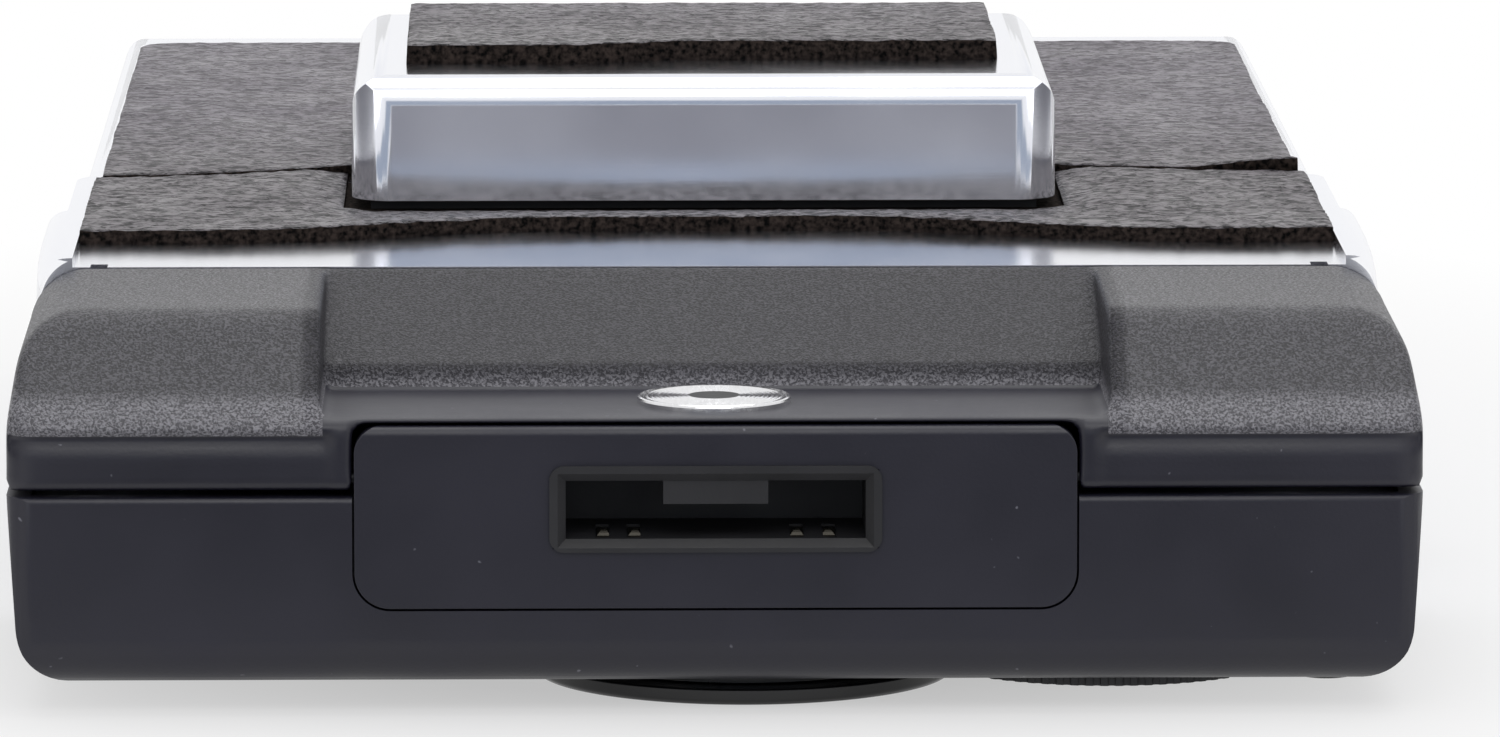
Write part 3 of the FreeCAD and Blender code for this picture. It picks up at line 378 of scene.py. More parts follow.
# %% Leather, raw cut edge
leather_cut, tree, shader = new_material("leather_raw_cut", IOR=1.4, Roughness=0.95,
                                         Specular_IOR_Level=0.1)
place = add_node(tree, "ShaderNodeTexCoord").outputs["Object"]
fibres = add_node(tree, "ShaderNodeTexNoise", Vector=place, Scale=per_mm(0.4), Detail=3.0)
clumps = ranged(tree, fibres.outputs["Fac"], From_Min=0.35, From_Max=0.7)
tone = mixed(tree, clumps, "#050505", "#3a322e")
fluff = add_node(tree, "ShaderNodeBump", Strength=0.8, Distance=0.1 * MM,
                 Height=fibres.outputs["Fac"])
wire(shader, Base_Color=tone, Normal=fluff.outputs["Normal"])
print("made", leather_cut.name)

# %% [markdown]
# ## Bellows cloth, glass and mirrors
# The bellows are rubberised cloth: dead black with a fine weave, about 0.4 mm a thread. The
# optical glass is clear with a faint blue coating. The mirrors are silvered on their front face,
# with a little haze.

# %% Bellows cloth
bellows_cloth, tree, shader = new_material("cloth_rubberised", IOR=1.5, Roughness=0.85)
place = add_node(tree, "ShaderNodeTexCoord").outputs["Object"]
threads = add_node(tree, "ShaderNodeTexVoronoi", Vector=place, Scale=per_mm(0.4))
tone = mixed(tree, threads.outputs["Distance"], "#1f1f20", "#0d0d0e")
weave = add_node(tree, "ShaderNodeBump", Strength=0.5, Distance=0.08 * MM,
                 Height=threads.outputs["Distance"])
wire(shader, Base_Color=tone, Normal=weave.outputs["Normal"])
print("made", bellows_cloth.name)

# %% Optical glass
coated_glass, tree, shader = new_material("glass_coated", IOR=1.52, Transmission_Weight=1.0)
place = add_node(tree, "ShaderNodeTexCoord").outputs["Object"]
smear = add_node(tree, "ShaderNodeTexNoise", Vector=place, Scale=per_mm(5), Detail=4.0)
tone = mixed(tree, smear.outputs["Fac"], "#b9c4e6", "#d6dcf2")
shine = ranged(tree, smear.outputs["Fac"], To_Min=0.0, To_Max=0.06)
wire(shader, Base_Color=tone, Roughness=shine)
print("made", coated_glass.name)

# %% Silvered mirror
mirror_glass, tree, shader = new_material("glass_silvered", Metallic=1.0)
place = add_node(tree, "ShaderNodeTexCoord").outputs["Object"]
haze = add_node(tree, "ShaderNodeTexNoise", Vector=place, Scale=per_mm(8), Detail=4.0)
tone = mixed(tree, haze.outputs["Fac"], "#dfe2e4", "#eef0f1")
shine = ranged(tree, haze.outputs["Fac"], To_Min=0.01, To_Max=0.07)
wire(shader, Base_Color=tone, Roughness=shine)
print("made", mirror_glass.name)

# %% Every CAD node takes the finish of its slot
finish_of_slot = {
    "smooth_plastic": moulded_abs,
    "pebbled_plastic": pebbled_abs,
    "black_plastic": black_finishes["black_abs_matt"],
    "gloss_black": black_finishes["black_abs_glossy"],
    "satin_chrome": satin_chrome,
    "polished_metal": metal_finishes["metal_polished"],
    "steel": metal_finishes["steel_ground"],
    "brass": metal_finishes["brass_turned"],
    "cover_leather": leather_grain,
    "bellows_cloth": bellows_cloth,
    "optical_glass": coated_glass,
    "mirror_glass": mirror_glass,
}
for name, node in nodes.items():
    node.data.materials.clear()
    node.data.materials.append(finish_of_slot[slot_of_node[name]])
nodes["nose_pins"].data.materials[0] = metal_finishes["steel_blackened"]
print(len(finish_of_slot), "finishes")

# %% [markdown]
# ## Stand-ins for a CAD node
# A piece that takes a node's place rides on the node's body, hides the node and takes its finish
# from the same slot. `stand_for` says all of that in one call.

# %% Stand for a node
def stand_for(piece, *cad_nodes, rides=True):
    """piece takes the place, the body and the slot of these CAD nodes."""
    if rides:
        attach(piece, body_of_node[cad_nodes[0]])
    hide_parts(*cad_nodes)
    if not piece.data.materials:
        piece.data.materials.append(finish_of_slot[slot_of_node[cad_nodes[0]]])
    return piece


def new_piece(name, work):
    """An object from a finished bmesh, linked to the scene."""
    mesh = bpy.data.meshes.new(name)
    work.to_mesh(mesh)
    work.free()
    piece = bpy.data.objects.new(name, mesh)
    bpy.context.scene.collection.objects.link(piece)
    return piece


def welded(node):
    """A bmesh of a CAD node whose split corners are joined and flat faces made whole."""
    work = bmesh.new()
    work.from_mesh(nodes[node].data)
    bmesh.ops.remove_doubles(work, verts=work.verts, dist=0.002 * MM)
    bmesh.ops.dissolve_limit(work, angle_limit=math.radians(0.5), verts=work.verts,
                             edges=work.edges)
    return work


# %% [markdown]
# ## Edges
# No edge of a moulding, a pressing or a turned ring is sharp. Each visible shell gets its own
# edge radius, as its tool would leave it: 0.3 to 0.45 mm on the big mouldings and the plated
# covers, down to 0.12 mm on the small latch. A bevel limited by angle rounds only the true edges,
# and normals weighted by face area keep the flats flat.

# %% Round the edges of the shells
edge_radius = {"lens_housing": 0.35, "flash_panel": 0.22, "front_cover": 0.45,
               "rear_cover": 0.4, "viewfinder_cap": 0.3, "base_shell": 0.35, "film_door": 0.3,
               "lens_ring": 0.15, "door_latch": 0.12, "housing_arms": 0.25,
               "housing_back": 0.2, "viewfinder_frame": 0.2, "chamber_deck": 0.15,
               "rear_lid": 0.15, "tripod_bush": 0.15, "shutter_plate": 0.15}
rail_side = 49.5
rail_foot = 21.0
rail_height = 6.5
lean = 1.2
lean_start = 58.0
lean_run = 25.0


def rounded(piece, radius):
    """Rounds the true edges of a shell, radius in mm, and shades its flats flat."""
    bevel = piece.modifiers.new("edge_radius", "BEVEL")
    bevel.width = radius * MM
    bevel.segments = 2
    bevel.limit_method = "ANGLE"
    bevel.angle_limit = math.radians(38)
    bevel.harden_normals = True
    weighted = piece.modifiers.new("flat_faces", "WEIGHTED_NORMAL")
    weighted.keep_sharp = True
    for face in piece.data.polygons:
        face.use_smooth = True
    if "custom_normal" in piece.data.attributes:
        piece.data.attributes.remove(piece.data.attributes["custom_normal"])
    return piece


def drawn_in(work):
    """Rails of the front cover lean in towards the hood, whose shoulders they meet."""
    for cut_back in (34, 38, 43, 49, 56):
        bmesh.ops.bisect_plane(work, geom=work.verts[:] + work.edges[:] + work.faces[:],
                               plane_co=at(0, cut_back, 0), plane_no=(0, 1, 0))
    for vert in work.verts:
        x, back, z = vert.co.x / MM, (vert.co.y - front_face) / MM, vert.co.z / MM
        near = min(1.0, max(0.0, (lean_start - back) / lean_run))
        if abs(x) > rail_side and z > rail_foot:
            up_rail = min(1.0, (z - rail_foot) / rail_height)
            vert.co.x -= math.copysign(lean * near * near * up_rail, x) * MM
    return work


for node, radius in edge_radius.items():
    shell = welded(node)
    if node == "front_cover":
        shell = drawn_in(shell)
    stand_for(rounded(new_piece(node + "_rounded", shell), radius), node)
print(len(edge_radius), "shells with rounded edges")

# %% [markdown]
# ## Flash socket
# The socket is a moulding of its own, set in the flash panel. Its slot is wider at the mouth, so
# that a flash bar finds its way in: a slope 0.6 mm wide runs round it. Only the edges of the
# slot lie well inside the socket's own front edges, which is how the code finds them.

# %% Slope round the mouth of the slot
socket_low, socket_high = span("flash_socket")
mouth_slope = 0.6
border = 0.65
work = welded("flash_socket")
mouth_edges = []
for edge in work.edges:
    ends = [(vert.co.x / MM, (vert.co.y - front_face) / MM, vert.co.z / MM)
            for vert in edge.verts]
    if all(back < socket_low.y + 0.02 and socket_low.x + border < x < socket_high.x - border
           and socket_low.z + border < z < socket_high.z - border for x, back, z in ends):
        mouth_edges.append(edge)
bmesh.ops.bevel(work, geom=mouth_edges, offset=mouth_slope * MM, offset_type="OFFSET", segments=1,
                affect="EDGES", profile=0.5)
socket = rounded(new_piece("flash_socket_sloped", work), 0.14)
stand_for(socket, "flash_socket")
print(len(mouth_edges), "edges round the mouth")

# %% [markdown]
# ## Turned disc
# The disc on the hood is turned on a lathe, and the tool leaves fine rings on it. Each ring is a
# shallow groove with two sloping sides, and the side that faces the light shines. That is why the
# disc looks bright although it lies flat. The dish in its middle is lined with black.

# %% Turned disc
def turned(name, centre, profile, around=96):
    """A round piece from a profile of (radius, height) in mm, from its middle outwards."""
    work = bmesh.new()
    rings = []
    for radius, height in profile:
        rings.append([work.verts.new(at(centre.x + radius * math.cos(turn),
                                        centre.y + radius * math.sin(turn), height))
                      for turn in (2 * math.pi * k / around for k in range(around))])
    for inner, outer in zip(rings, rings[1:]):
        for k in range(around):
            following = (k + 1) % around
            work.faces.new((inner[k], outer[k], outer[following], inner[following]))
    work.faces.new(rings[0])
    work.faces.new(rings[-1][::-1])
    bmesh.ops.recalc_face_normals(work, faces=work.faces)
    return new_piece(name, work)


disc_low, disc_high = span("hood_disc")
disc_middle = (disc_low + disc_high) / 2
disc_radius = (disc_high.x - disc_low.x) / 2
dish_radius = 1.9
dish_depth = 0.34
groove_pitch = 0.34
groove_depth = 0.045
disc_profile = [(radius, disc_high.z - dish_depth * (1 - (radius / dish_radius) ** 2))
                for radius in (0.05, 0.5, 0.95, 1.4, 1.7)]
grooves = int((disc_radius - 0.25 - dish_radius) / groove_pitch)
for groove in range(grooves):
    disc_profile.append((dish_radius + groove * groove_pitch, disc_high.z))
    disc_profile.append((dish_radius + (groove + 0.5) * groove_pitch,
                         disc_high.z - groove_depth))
disc_profile += [(disc_radius - 0.2, disc_high.z), (disc_radius - 0.06, disc_high.z - 0.06),
                 (disc_radius, disc_high.z - 0.2), (disc_radius, disc_low.z)]
disc = stand_for(turned("hood_disc_turned", disc_middle, disc_profile), "hood_disc")
disc.data.materials.append(black_finishes["black_abs_matt"])
for face in disc.data.polygons:
    reach = (face.center - at(disc_middle.x, disc_middle.y, face.center.z / MM)).length / MM
    face.material_index = int(reach < dish_radius - 0.1 and face.center.z / MM > disc_low.z)
print(grooves, "rings on the disc")

# %% [markdown]
# ## The hood
# The hood is one moulding with two raised side blocks and a ramp between them. Its corners are
# softer than a bevel makes them. So its mesh is remade with even small faces, and then relaxed
# the way a pebble wears, more at the shoulders and hardly at all at the ramp and at the lower
# rim, where it has to keep meeting its neighbours.

# %% Remesh the hood
hood = new_piece("hood_soft", welded("hood"))
remesh = hood.modifiers.new("even_faces", "REMESH")
remesh.mode = "VOXEL"
remesh.voxel_size = 0.42 * MM
graph = bpy.context.evaluated_depsgraph_get()
even_mesh = bpy.data.meshes.new_from_object(hood.evaluated_get(graph))
hood.modifiers.clear()
hood.data = even_mesh
print("hood has", len(even_mesh.polygons), "even faces")

# %% Relax it
hood_low_corner, hood_high_corner = span("hood")
band_top = 21.4
block_side = 30.5
block_inside = 33.0
points = np.empty(len(even_mesh.vertices) * 3)
even_mesh.vertices.foreach_get("co", points)
points = points.reshape(-1, 3)
pairs = np.empty(len(even_mesh.edges) * 2, dtype=np.int64)
even_mesh.edges.foreach_get("vertices", pairs)
pairs = pairs.reshape(-1, 2)
neighbours = np.bincount(pairs.ravel(), minlength=len(points))[:, None]


def relax(points, share, rounds):
    """Moves each point towards the mean of its neighbours, by its own share."""
    for _ in range(rounds):
        total = np.zeros_like(points)
        np.add.at(total, pairs[:, 0], points[pairs[:, 1]])
        np.add.at(total, pairs[:, 1], points[pairs[:, 0]])
        points = points + share[:, None] * (total / neighbours - points)
    return points


def rise(value, start, end):
    """0 before start, 1 after end, and smooth between them."""
    t = np.clip((value - start) / (end - start), 0, 1)
    return t * t * (3 - 2 * t)


across = np.abs(points[:, 0]) / MM
back = (points[:, 1] - front_face) / MM
up = points[:, 2] / MM
shoulders = rise(up, band_top - 1.5, band_top + 1.5) * rise(across, block_side, block_inside)
shoulders *= 1 - rise(back, hood_high_corner.y - 3.0, hood_high_corner.y - 0.5)
rims = rise(up, hood_low_corner.z + 0.6, hood_low_corner.z + 1.6)
points = relax(points, 0.5 * rims, 2)
points = relax(points, 0.5 * shoulders, 12)
print(int((shoulders > 0.5).sum()), "points on the shoulders wear most")

# %% [markdown]
# The slope ends in a lip, and the band below it starts half a millimetre further back, in a
# hollow that runs out downwards. The hollow draws the dark line under the pebbled slope. The
# band and the shelf in front of the ramp have the smooth skin of the housing.

# %% Step the band back
panel_clear = 28.0
shelf_level = 22.1
shelf_back = 14.4
back = (points[:, 1] - front_face) / MM
up = points[:, 2] / MM
under_lip = (1 - rise(up, band_top - 0.65, band_top - 0.3)) \
    * (0.1 + 0.42 * rise(up, band_top - 2.2, band_top - 0.7))
front_only = (1 - rise(back, 0.9, 1.4)) * rise(np.abs(points[:, 0]) / MM, panel_clear,
                                                   panel_clear + 0.6)
points[:, 1] += under_lip * front_only * MM
even_mesh.vertices.foreach_set("co", points.ravel())
even_mesh.materials.clear()
even_mesh.materials.append(pebbled_abs)
even_mesh.materials.append(moulded_abs)
for face in even_mesh.polygons:
    face.use_smooth = True
    centre = face.center / MM
    on_shelf = abs(centre.x) < panel_clear + 0.8 and centre.z < shelf_level + 0.3 \
        and centre.y - front_face / MM < shelf_back
    face.material_index = int(centre.z < band_top - 0.45 or on_shelf)
even_mesh.update()
stand_for(hood, "hood")
print(sum(face.material_index for face in even_mesh.polygons), "smooth faces on the hood")

# %% [markdown]
# ## Leather panels
# Each panel is cut by hand with a knife and glued down, so its outline wanders a little, its
# surface rises and sinks with the creases, and its cut edge shows. A grid of points makes the
# grain side. Its outline is given by functions across the width, and its rim is drawn down in
# three steps, each a little ragged, to make the raw edge.

# %% Leather from a grid
def wander(seed, x, y, size):
    """Smooth random value between -1 and 1 that changes over about size mm."""
    return noise.noise(Vector((x / size, y / size, seed)))


def leather_sheet(name, columns, stations, steps, height, floor, hidden=None):
    """Grain side between outline functions of x, with a raw edge down to the floor."""
    work = bmesh.new()
    rows = [(zone, step / count) for zone, count in enumerate(steps) for step in range(count)]
    rows.append((len(steps) - 1, 1.0))
    corners = {}

    def corner(i, j):
        if (i, j) not in corners:
            zone, part = rows[j]
            x = columns[i]
            back = stations[zone](x) * (1 - part) + stations[zone + 1](x) * part
            if i in (0, len(columns) - 1):
                x += 0.12 * wander(3.1, x, back, 9.0) + 0.04 * wander(4.1, x, back, 1.3)
            corners[i, j] = work.verts.new(at(x, back, height(x, back)))
        return corners[i, j]

    for j in range(len(rows) - 1):
        for i in range(len(columns) - 1):
            middle = (columns[i] + columns[i + 1]) / 2
            if hidden and hidden(middle, rows[j][0]):
                continue
            face = work.faces.new((corner(i, j), corner(i + 1, j), corner(i + 1, j + 1),
                                   corner(i, j + 1)))
            face.smooth = True
    rim = [edge for edge in work.edges if edge.is_boundary]
    # A dict keeps the order of the rim, where a set or an extrusion would shuffle it each run.
    for vert in {vert: None for edge in rim for vert in edge.verts}:
        vert.co.z -= 0.08 * MM
    tops = {vert: vert.co.z for edge in rim for vert in edge.verts}
    for level in (0.3, 0.62, 1.0):
        below = {}
        for vert, top in tops.items():
            x, y = vert.co.x / MM, vert.co.y / MM
            below[vert] = work.verts.new((vert.co.x + 0.07 * MM * wander(level, x, y, 0.7),
                                          vert.co.y + 0.07 * MM * wander(level + 5, x, y, 0.7),
                                          top + (floor * MM - top) * level))
        lower_rim = []
        for edge in rim:
            loop = edge.link_loops[0]
            left, right = loop.link_loop_next.vert, loop.vert
            face = work.faces.new((left, right, below[right], below[left]))
            face.smooth = True
            face.material_index = 1
            lower_rim.append(work.edges.get((below[right], below[left])))
        rim = lower_rim
        tops = {below[vert]: top for vert, top in tops.items()}
    bmesh.ops.triangle_fill(work, edges=rim, use_beauty=True)
    bmesh.ops.recalc_face_normals(work, faces=work.faces)
    piece = new_piece(name, work)
    piece.data.materials.append(leather_grain)
    piece.data.materials.append(leather_cut)
    print(name, len(piece.data.polygons), "faces")
    return piece


def even(start, end, step):
    """Values from start to end, about one step apart."""
    count = max(1, round(abs(end - start) / step))
    return [start + (end - start) * i / count for i in range(count + 1)]


print("grid columns look like", even(0, 1, 0.25))

# %% [markdown]
# The front panel runs round the viewfinder on three sides. Its front edge bows back in the
# middle, and the strip before the viewfinder sinks towards it.

# %% Front leather
leather_low, leather_high = span("front_leather")
cap_low, cap_high = span("viewfinder_cap")
opening_half = cap_high.x + 0.6
opening_start = cap_low.y - 0.8
bed = leather_low.z
hide = leather_high.z - leather_low.z
grid_step = 0.38
bow = 7.0
bow_half = 26.0
seam_left = 77.3
seam_right = 79.8
seam_at_cap = 83.2
seam_about = 80.0


def creased(x, back):
    """Relief of the creases in mm: short ones across the camera, on a slow swell."""
    bend = 1.2 * noise.noise(Vector((x / 9.0, back / 9.0, 8.5)))
    ridge = 1 - 2.2 * abs(noise.noise(Vector((x / 2.3, back / 0.8 + bend, 0.5))))
    fine = noise.noise(Vector((x / 0.9, back / 0.7, 2.5)))
    swell = noise.noise(Vector((x / 22.0, back / 14.0, 4.5)))
    return 0.08 * ridge + 0.05 * fine + 0.06 * swell - 0.08


def front_edge(x):
    """Front edge of the front leather."""
    curve = bow * math.exp(-(x / bow_half) ** 4) + 0.6 * math.exp(-(x / 45.0) ** 2)
    return leather_low.y + curve + 0.3 * wander(1.0, x, 0, 9.0)


def seam(x):
    """Joint between the front and the rear leather, drawn back towards the viewfinder."""
    side = min(1.0, max(0.0, (abs(x) - opening_half) / (leather_high.x - opening_half)))
    start = seam_left if x < 0 else seam_right
    return start + (seam_at_cap - start) * (1 - side) ** 1.6 + 0.2 * wander(2.0, x, 0, 6.0)


def front_height(x, back):
    """Grain side of the front leather: sunk before the viewfinder, tucked in at the seam."""
    sag = 0.8 * rise(back, front_edge(x) + 1.0, opening_start) \
        * (1 - rise(abs(x), opening_half - 3.0, opening_half + 4.0))
    tuck = 0.14 * rise(back, seam(x) - 4.0, seam(x))
    return bed + hide - 0.12 + creased(x, back) - sag - tuck


side_columns = even(-leather_high.x, -opening_half, grid_step)
middle_columns = even(-opening_half, opening_half, grid_step)
front_columns = side_columns + middle_columns[1:] + [-x for x in side_columns[-2::-1]]
front_leather = leather_sheet(
    "front_leather_cut", front_columns,
    (front_edge, lambda x: opening_start, lambda x: seam(x) - 0.2),
    (round((opening_start - leather_low.y) / grid_step),
     round((seam_about - opening_start) / grid_step)),
    front_height, bed, hidden=lambda x, zone: zone == 1 and abs(x) < opening_half)
print("front edge bows back", round(front_edge(0) - front_edge(45), 1), "mm in the middle")

# %% [markdown]
# Round the viewfinder a thin black sheet shows between the leather and the chrome, a black frame
# that also stands in for the shade in that gap, so it is partly painted shade. It belongs to the
# same panel.

# %% Black sheet in the opening, partly painted shade
work = bmesh.new()
work.from_mesh(front_leather.data)
backing_low, backing_high = bed + 0.02, bed + 0.12
plate_end = 79.4
sides = ((-opening_half - 0.3, opening_start - 0.3), (opening_half + 0.3, opening_start - 0.3),
         (opening_half + 0.3, plate_end), (-opening_half - 0.3, plate_end))
below = [work.verts.new(at(x, back, backing_low)) for x, back in sides]
above = [work.verts.new(at(x, back, backing_high)) for x, back in sides]
backing = [work.faces.new(below[::-1]), work.faces.new(above)]
backing += [work.faces.new((below[k], below[(k + 1) % 4], above[(k + 1) % 4], above[k]))
            for k in range(4)]
# The sheet takes the dark cut-edge finish: a black frame and partly painted shade for the gap.
for face in backing:
    face.material_index = 1
work.to_mesh(front_leather.data)
work.free()
stand_for(front_leather, "front_leather")
print(len(backing), "faces of black backing")

# %% [markdown]
# The rear panel ends in rounded corners. At the right its front corner has come unstuck and
# curls up by most of a millimetre, which shows its raw edge there.

# %% Rear leather
leather_low, leather_high = span("rear_leather")
rear_half = leather_high.x
rear_end = leather_high.y
corner_radius = 3.0
curl_height = 0.85


def rear_edge(x):
    """Rear edge with its rounded corners."""
    into_corner = max(0.0, abs(x) - (rear_half - corner_radius))
    return rear_end - corner_radius + math.sqrt(
        max(0.0, corner_radius ** 2 - into_corner ** 2)) + 0.15 * wander(6.0, x, 0, 8.0)


def rear_height(x, back):
    """Grain side of the rear leather, with the curled corner."""
    curl = curl_height * rise(x, opening_half + 9.0, rear_half) \
        * (1 - rise(back, seam(x), seam(x) + 6.0))
    return bed + hide - 0.13 + 0.7 * creased(x + 40, back) + curl


rear_leather = leather_sheet(
    "rear_leather_cut", even(-rear_half, rear_half, grid_step), (seam, rear_edge),
    (round((rear_end - seam_about) / (1.6 * grid_step)),), rear_height, bed)
stand_for(rear_leather, "rear_leather")

# %% [markdown]
# The panel on the viewfinder is the thickest of the three. Its front edge isn't straight: the
# knife has left it a little further back on the right half.

# %% Viewfinder leather
leather_low, leather_high = span("viewfinder_leather")
cap_leather_low = leather_low.z
cap_hide = leather_high.z - leather_low.z


def cap_front_edge(x):
    """Front edge, cut further back on the right half."""
    return leather_low.y + 2.6 * rise(x, -12.0, 0.0) + 0.25 * wander(7.0, x, 0, 6.0)


def cap_rear_edge(x):
    """Rear edge, nearly straight."""
    return leather_high.y + 0.2 * wander(8.0, x, 0, 8.0)


def cap_height(x, back):
    """Grain side, with creases of its own."""
    return cap_leather_low + cap_hide - 0.15 + 0.7 * creased(x, back + 60)


viewfinder_leather = leather_sheet(
    "viewfinder_leather_cut", even(leather_low.x, leather_high.x, grid_step),
    (cap_front_edge, cap_rear_edge), (round((leather_high.y - leather_low.y) / grid_step),),
    cap_height, cap_leather_low)
stand_for(viewfinder_leather, "viewfinder_leather")

# %% [markdown]
# ## Flash contacts
# In each groove of the flash socket lies a thin spring leaf. Its middle is pressed up into a
# small ridge that rubs on the flash bar, and it is these ridges that glint in the dark slot. A
# leaf is a strip that follows a bump-shaped curve.

# %% Contact leaves
contact_low, contact_high = span("flash_contacts")
contact_places = (-8.2, -5.9, 6.0, 8.3)
leaf_half = 0.5
leaf_thick = 0.12
hump_radius = 0.45
hump_back = 2.4
hump_taper = 1.6
work = bmesh.new()
for contact_x in contact_places:
    lines = []
    for i in range(61):
        part = i / 60
        back = contact_low.y + (contact_high.y - contact_low.y) * part
        lift = math.sqrt(max(0.0, hump_radius ** 2 - (back - contact_low.y - hump_back) ** 2))
        z = contact_low.z + leaf_thick + lift
        half = leaf_half * (1 - hump_taper * lift)
        lines.append([work.verts.new(at(contact_x + side * half, back, z + level))
                      for side, level in ((-1, 0), (1, 0), (1, -leaf_thick), (-1, -leaf_thick))])
    for before, after in zip(lines, lines[1:]):
        for k in range(4):
            work.faces.new((before[k], before[(k + 1) % 4], after[(k + 1) % 4], after[k]))
    work.faces.new(lines[0])
    work.faces.new(lines[-1][::-1])
bmesh.ops.recalc_face_normals(work, faces=work.faces)
contacts = stand_for(new_piece("flash_contact_leaves", work), "flash_contacts")
# The leaves are painted dark grey: painted shade for their place in the shaded slot.
contacts.data.materials[0] = metal_finishes["contact_alloy_dull"]
print(len(contact_places), "contact leaves")

# %% [markdown]
# ## Button spring
# Behind the shutter button sits a coil of spring wire. A helix of points swept with a round
# section makes it.

# %% Helical spring
def swept_tube(name, path, radius, sides=10):
    """A round wire along a list of points, closed at both ends."""
    work = bmesh.new()
    rings = []
    for i, point in enumerate(path):
        ahead = path[min(i + 1, len(path) - 1)] - path[max(i - 1, 0)]
        side = ahead.cross(Vector((0, 0, 1))).normalized()
        upward = side.cross(ahead).normalized()
        rings.append([work.verts.new(point + radius * (math.cos(turn) * side
                                                       + math.sin(turn) * upward))
                      for turn in (2 * math.pi * k / sides for k in range(sides))])
    for before, after in zip(rings, rings[1:]):
        for k in range(sides):
            face = work.faces.new((before[k], before[(k + 1) % sides],
                                   after[(k + 1) % sides], after[k]))
            face.smooth = True
    work.faces.new(rings[0][::-1])
    work.faces.new(rings[-1])
    bmesh.ops.recalc_face_normals(work, faces=work.faces)
    return new_piece(name, work)


spring_low, spring_high = span("button_spring")
spring_middle = (spring_low + spring_high) / 2
wire = 0.2
coil_radius = (spring_high.x - spring_low.x) / 2 - wire
turns = 5
steps_a_turn = 24
coil = []
for i in range(turns * steps_a_turn + 1):
    turn = 2 * math.pi * i / steps_a_turn
    rise_share = i / (turns * steps_a_turn)
    coil.append(at(spring_middle.x + coil_radius * math.cos(turn),
                   spring_middle.y + coil_radius * math.sin(turn),
                   spring_low.z + wire + (spring_high.z - spring_low.z - 2 * wire)
                   * rise_share))
spring = stand_for(swept_tube("button_spring_coil", coil, wire * MM), "button_spring")
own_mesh(spring)

# %% [markdown]
# ## Bellows
# Two pleated bellows keep the light out: one between the base and the rear cover, one between
# the lens housing and the hood. Folded flat, each is a stack of pleats a few tenths of a
# millimetre apart.

# %% Pleated fans
def pleated_fan(name, node, depth, pleats, wall, shorter=0.0):
    """Zigzag walls round the rectangle of a folded bellows, inner and outer skin.

    The upper pleats stop shorter mm before the front, clear of the cover they open under."""
    low, high = span(node)
    work = bmesh.new()
    rings = []

    def ring(inset, z):
        corner = 2.5
        short = shorter * rise((z - low.z) / (high.z - low.z), 0.08, 0.3)
        points = []
        for quarter, (sx, sy) in enumerate(((1, 1), (-1, 1), (-1, -1), (1, -1))):
            centre_x = sx * ((high.x - low.x) / 2 - inset - corner) + (high.x + low.x) / 2
            centre_y = sy * ((high.y - low.y) / 2 - inset - corner) + (high.y + low.y) / 2
            if sy < 0:
                centre_y += short
            for k in range(5):
                turn = math.pi / 2 * (quarter + k / 4)
                points.append(work.verts.new(at(centre_x + corner * math.cos(turn),
                                                centre_y + corner * math.sin(turn), z)))
        return points

    folds = 2 * pleats
    margin = 0.1
    steps = [(i, 0.0) for i in range(folds + 1)] + [(i, wall) for i in range(folds, -1, -1)]
    for i, thickness in steps:
        z = low.z + margin + (high.z - low.z - 2 * margin) * i / folds
        rings.append(ring((depth if i % 2 else 0.3) + thickness, z))
    rings.append(rings[0])
    for before, after in zip(rings, rings[1:]):
        for k in range(len(before)):
            following = (k + 1) % len(before)
            work.faces.new((before[k], before[following], after[following], after[k]))
    bmesh.ops.recalc_face_normals(work, faces=work.faces)
    piece = stand_for(new_piece(name, work), node, rides=False)
    return piece, low, high


rear_fan, low, high = pleated_fan("bellows_rear_pleats", "bellows_rear", 4.4, 8, 0.5,
                                  shorter=27.5)
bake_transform(rear_fan)
front_fan, low, high = pleated_fan("bellows_front_pleats", "bellows_front", 4.0, 8, 0.5)
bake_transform(front_fan)
print(len(rear_fan.data.polygons) + len(front_fan.data.polygons), "faces in the bellows")

# %% [markdown]
# ## Floor, cards and light
# A product like this is shot on a white table. The table and the room render as white to the
# camera and in the chrome, and the table keeps part of the camera's shadow. Cards help the
# chrome, where the lens can't see them. A grey one lies on the table in front: without it the
# front faces would mirror a white table and look pale. One stands at each side, and draws a grey
# line along the rounded edges, so that they part from the white room. Behind the lens the room
# is a dim blue-grey wall, which shows in the chrome strip before the leather.

# %% White table
def seen_directly(tree):
    """1 for the rays of the camera, of mirrors and of glass, 0 for light that falls on things."""
    rays = add_node(tree, "ShaderNodeLightPath").outputs
    seen = add_node(tree, "ShaderNodeMath", {"operation": "MAXIMUM"},
                    i0=rays["Is Camera Ray"], i1=rays["Is Glossy Ray"])
    return add_node(tree, "ShaderNodeMath", {"operation": "MAXIMUM"},
                    i0=seen.outputs["Value"], i1=rays["Is Transmission Ray"]).outputs["Value"]


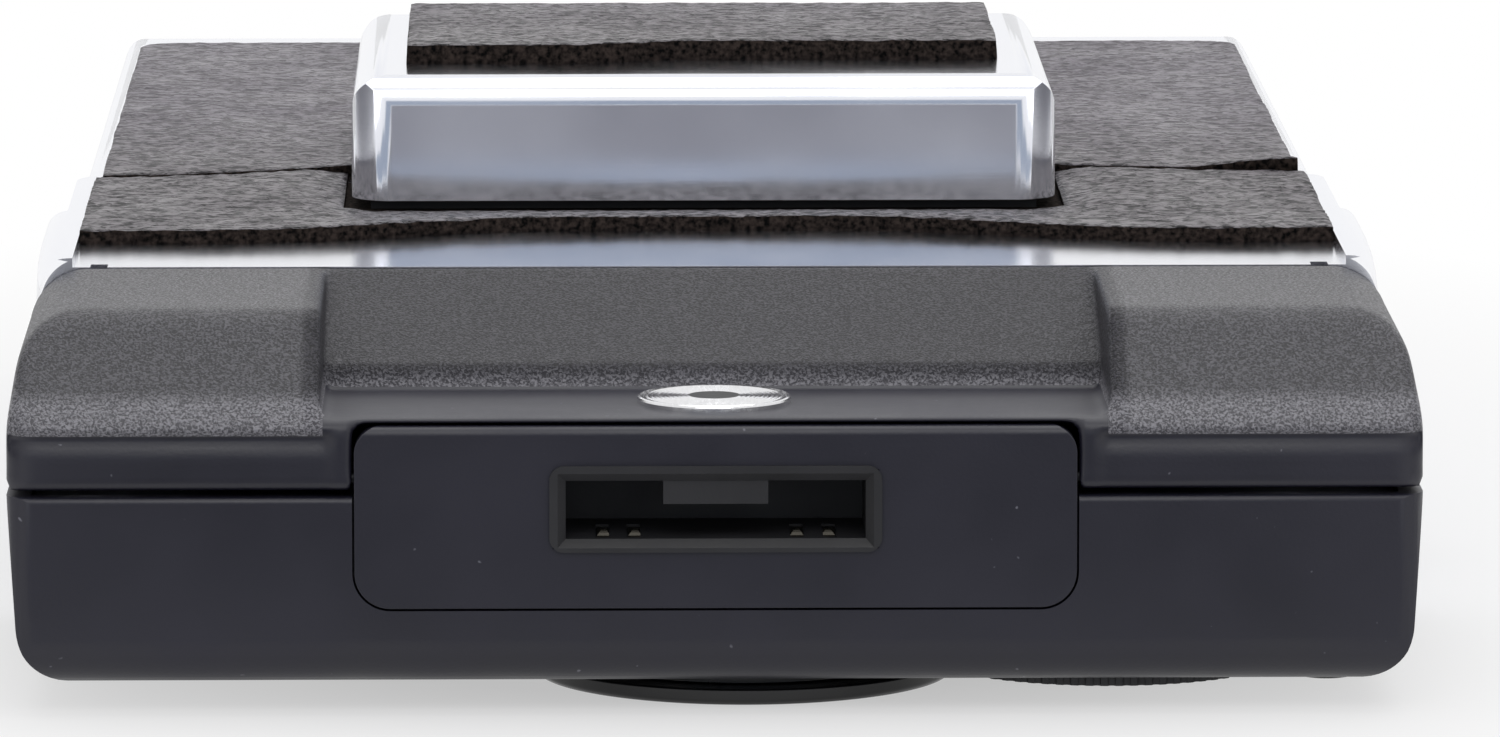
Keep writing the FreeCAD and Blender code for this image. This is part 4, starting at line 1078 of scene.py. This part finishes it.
table_top = cad_box[0].z
white_table, tree, shader = new_material("white_table", Roughness=0.9,
                                         Base_Color=(0.86, 0.86, 0.87, 1))
seen = seen_directly(tree)
place = add_node(tree, "ShaderNodeTexCoord").outputs["Object"]
widened = add_node(tree, "ShaderNodeVectorMath", {"operation": "MULTIPLY"}, i0=place,
                   i1=(1.6, 1, 1))
distance = add_node(tree, "ShaderNodeVectorMath", {"operation": "LENGTH"},
                    i0=widened.outputs["Vector"])
far = ranged(tree, distance.outputs["Value"], From_Min=0.08, From_Max=0.2, To_Min=0.5, To_Max=1.0)
share = add_node(tree, "ShaderNodeMath", {"operation": "MULTIPLY"}, i0=seen, i1=far)
glow = add_node(tree, "ShaderNodeEmission", Color=(1, 1, 1, 1), Strength=1.0)
surface = add_node(tree, "ShaderNodeMixShader", i0=share.outputs["Value"],
                   i1=shader.outputs["BSDF"], i2=glow.outputs["Emission"])
tree.links.new(surface.outputs["Shader"], tree.nodes["Material Output"].inputs["Surface"])


def flat_sheet(name, corner, across, along, material):
    """A stage plane from one corner and two sides."""
    work = bmesh.new()
    corner, across, along = Vector(corner), Vector(across), Vector(along)
    work.faces.new([work.verts.new(p) for p in (corner, corner + across,
                                                corner + across + along, corner + along)])
    sheet = new_piece(name, work)
    sheet.data.materials.append(material)
    return sheet


clear_of_base = 0.02 * MM
flat_sheet("table", (-4, -4, table_top - clear_of_base), (8, 0, 0), (0, 8, 0), white_table)
print("table top at", round(table_top - clear_of_base, 5), "m")

# %% Cards
card_grey, tree, shader = new_material("grey_card", Roughness=0.9,
                                       Base_Color=linear("#86868e"))
card_dark, tree, shader = new_material("dark_card", Roughness=0.9,
                                       Base_Color=linear("#707078"))
card_half = 62
card_far = -900
card_near = -26


def shown_in_chrome_only(card):
    """Leaves a card to the mirrors: no camera, no shadow, no light thrown on things."""
    card.visible_camera = False
    card.visible_diffuse = False
    card.visible_shadow = False
    card.visible_transmission = False


corner = at(-card_half, card_far, 1)
shown_in_chrome_only(flat_sheet("front_card", corner, at(card_half, card_far, 1) - corner,
                                at(-card_half, card_near, 1) - corner, card_grey))
wall_grey, tree, shader = new_material("room_wall")
glow = add_node(tree, "ShaderNodeEmission", Color=linear("#a3adbc"), Strength=1.0)
tree.links.new(glow.outputs["Emission"], tree.nodes["Material Output"].inputs["Surface"])
shown_in_chrome_only(flat_sheet("room_wall", (-1.6, -2.0, 0), (3.2, 0, 0), (0, 0, 0.5),
                                wall_grey))
for side in (-1, 1):
    shown_in_chrome_only(flat_sheet("side_card_" + ("left" if side < 0 else "right"),
                                    at(side * 260, -120, 2), (0, 0.42, 0), (0, 0, 0.07),
                                    card_dark))
print("one card in front, one at each side, and the wall of the room")

# %% Room and lamps
room = bpy.data.worlds.new("white_room")
bpy.context.scene.world = room
room.use_nodes = True
tree = room.node_tree
level = ranged(tree, seen_directly(tree), To_Min=0.4, To_Max=1.0)
background = tree.nodes["Background"]
background.inputs["Color"].default_value = (1, 1, 1, 1)
tree.links.new(level, background.inputs["Strength"])
bpy.context.scene.view_settings.view_transform = "Standard"


def soft_lamp(name, place, aim, size, power):
    """A rectangular area lamp that points at aim."""
    data = bpy.data.lights.new(name, "AREA")
    data.shape = "RECTANGLE"
    data.size, data.size_y = size
    data.energy = power
    lamp = bpy.data.objects.new(name, data)
    bpy.context.scene.collection.objects.link(lamp)
    lamp.location = place
    lamp.rotation_euler = (Vector(aim) - Vector(place)).to_track_quat("-Z", "Y").to_euler()
    print(name, power, "W")


soft_lamp("top_lamp", (0.1, 0.15, 0.9), (0, 0, 0), (0.9, 0.9), 4.0)
soft_lamp("front_lamp", (0, -1.3, 1.2), (0, 0, 0), (1.3, 0.8), 6.0)
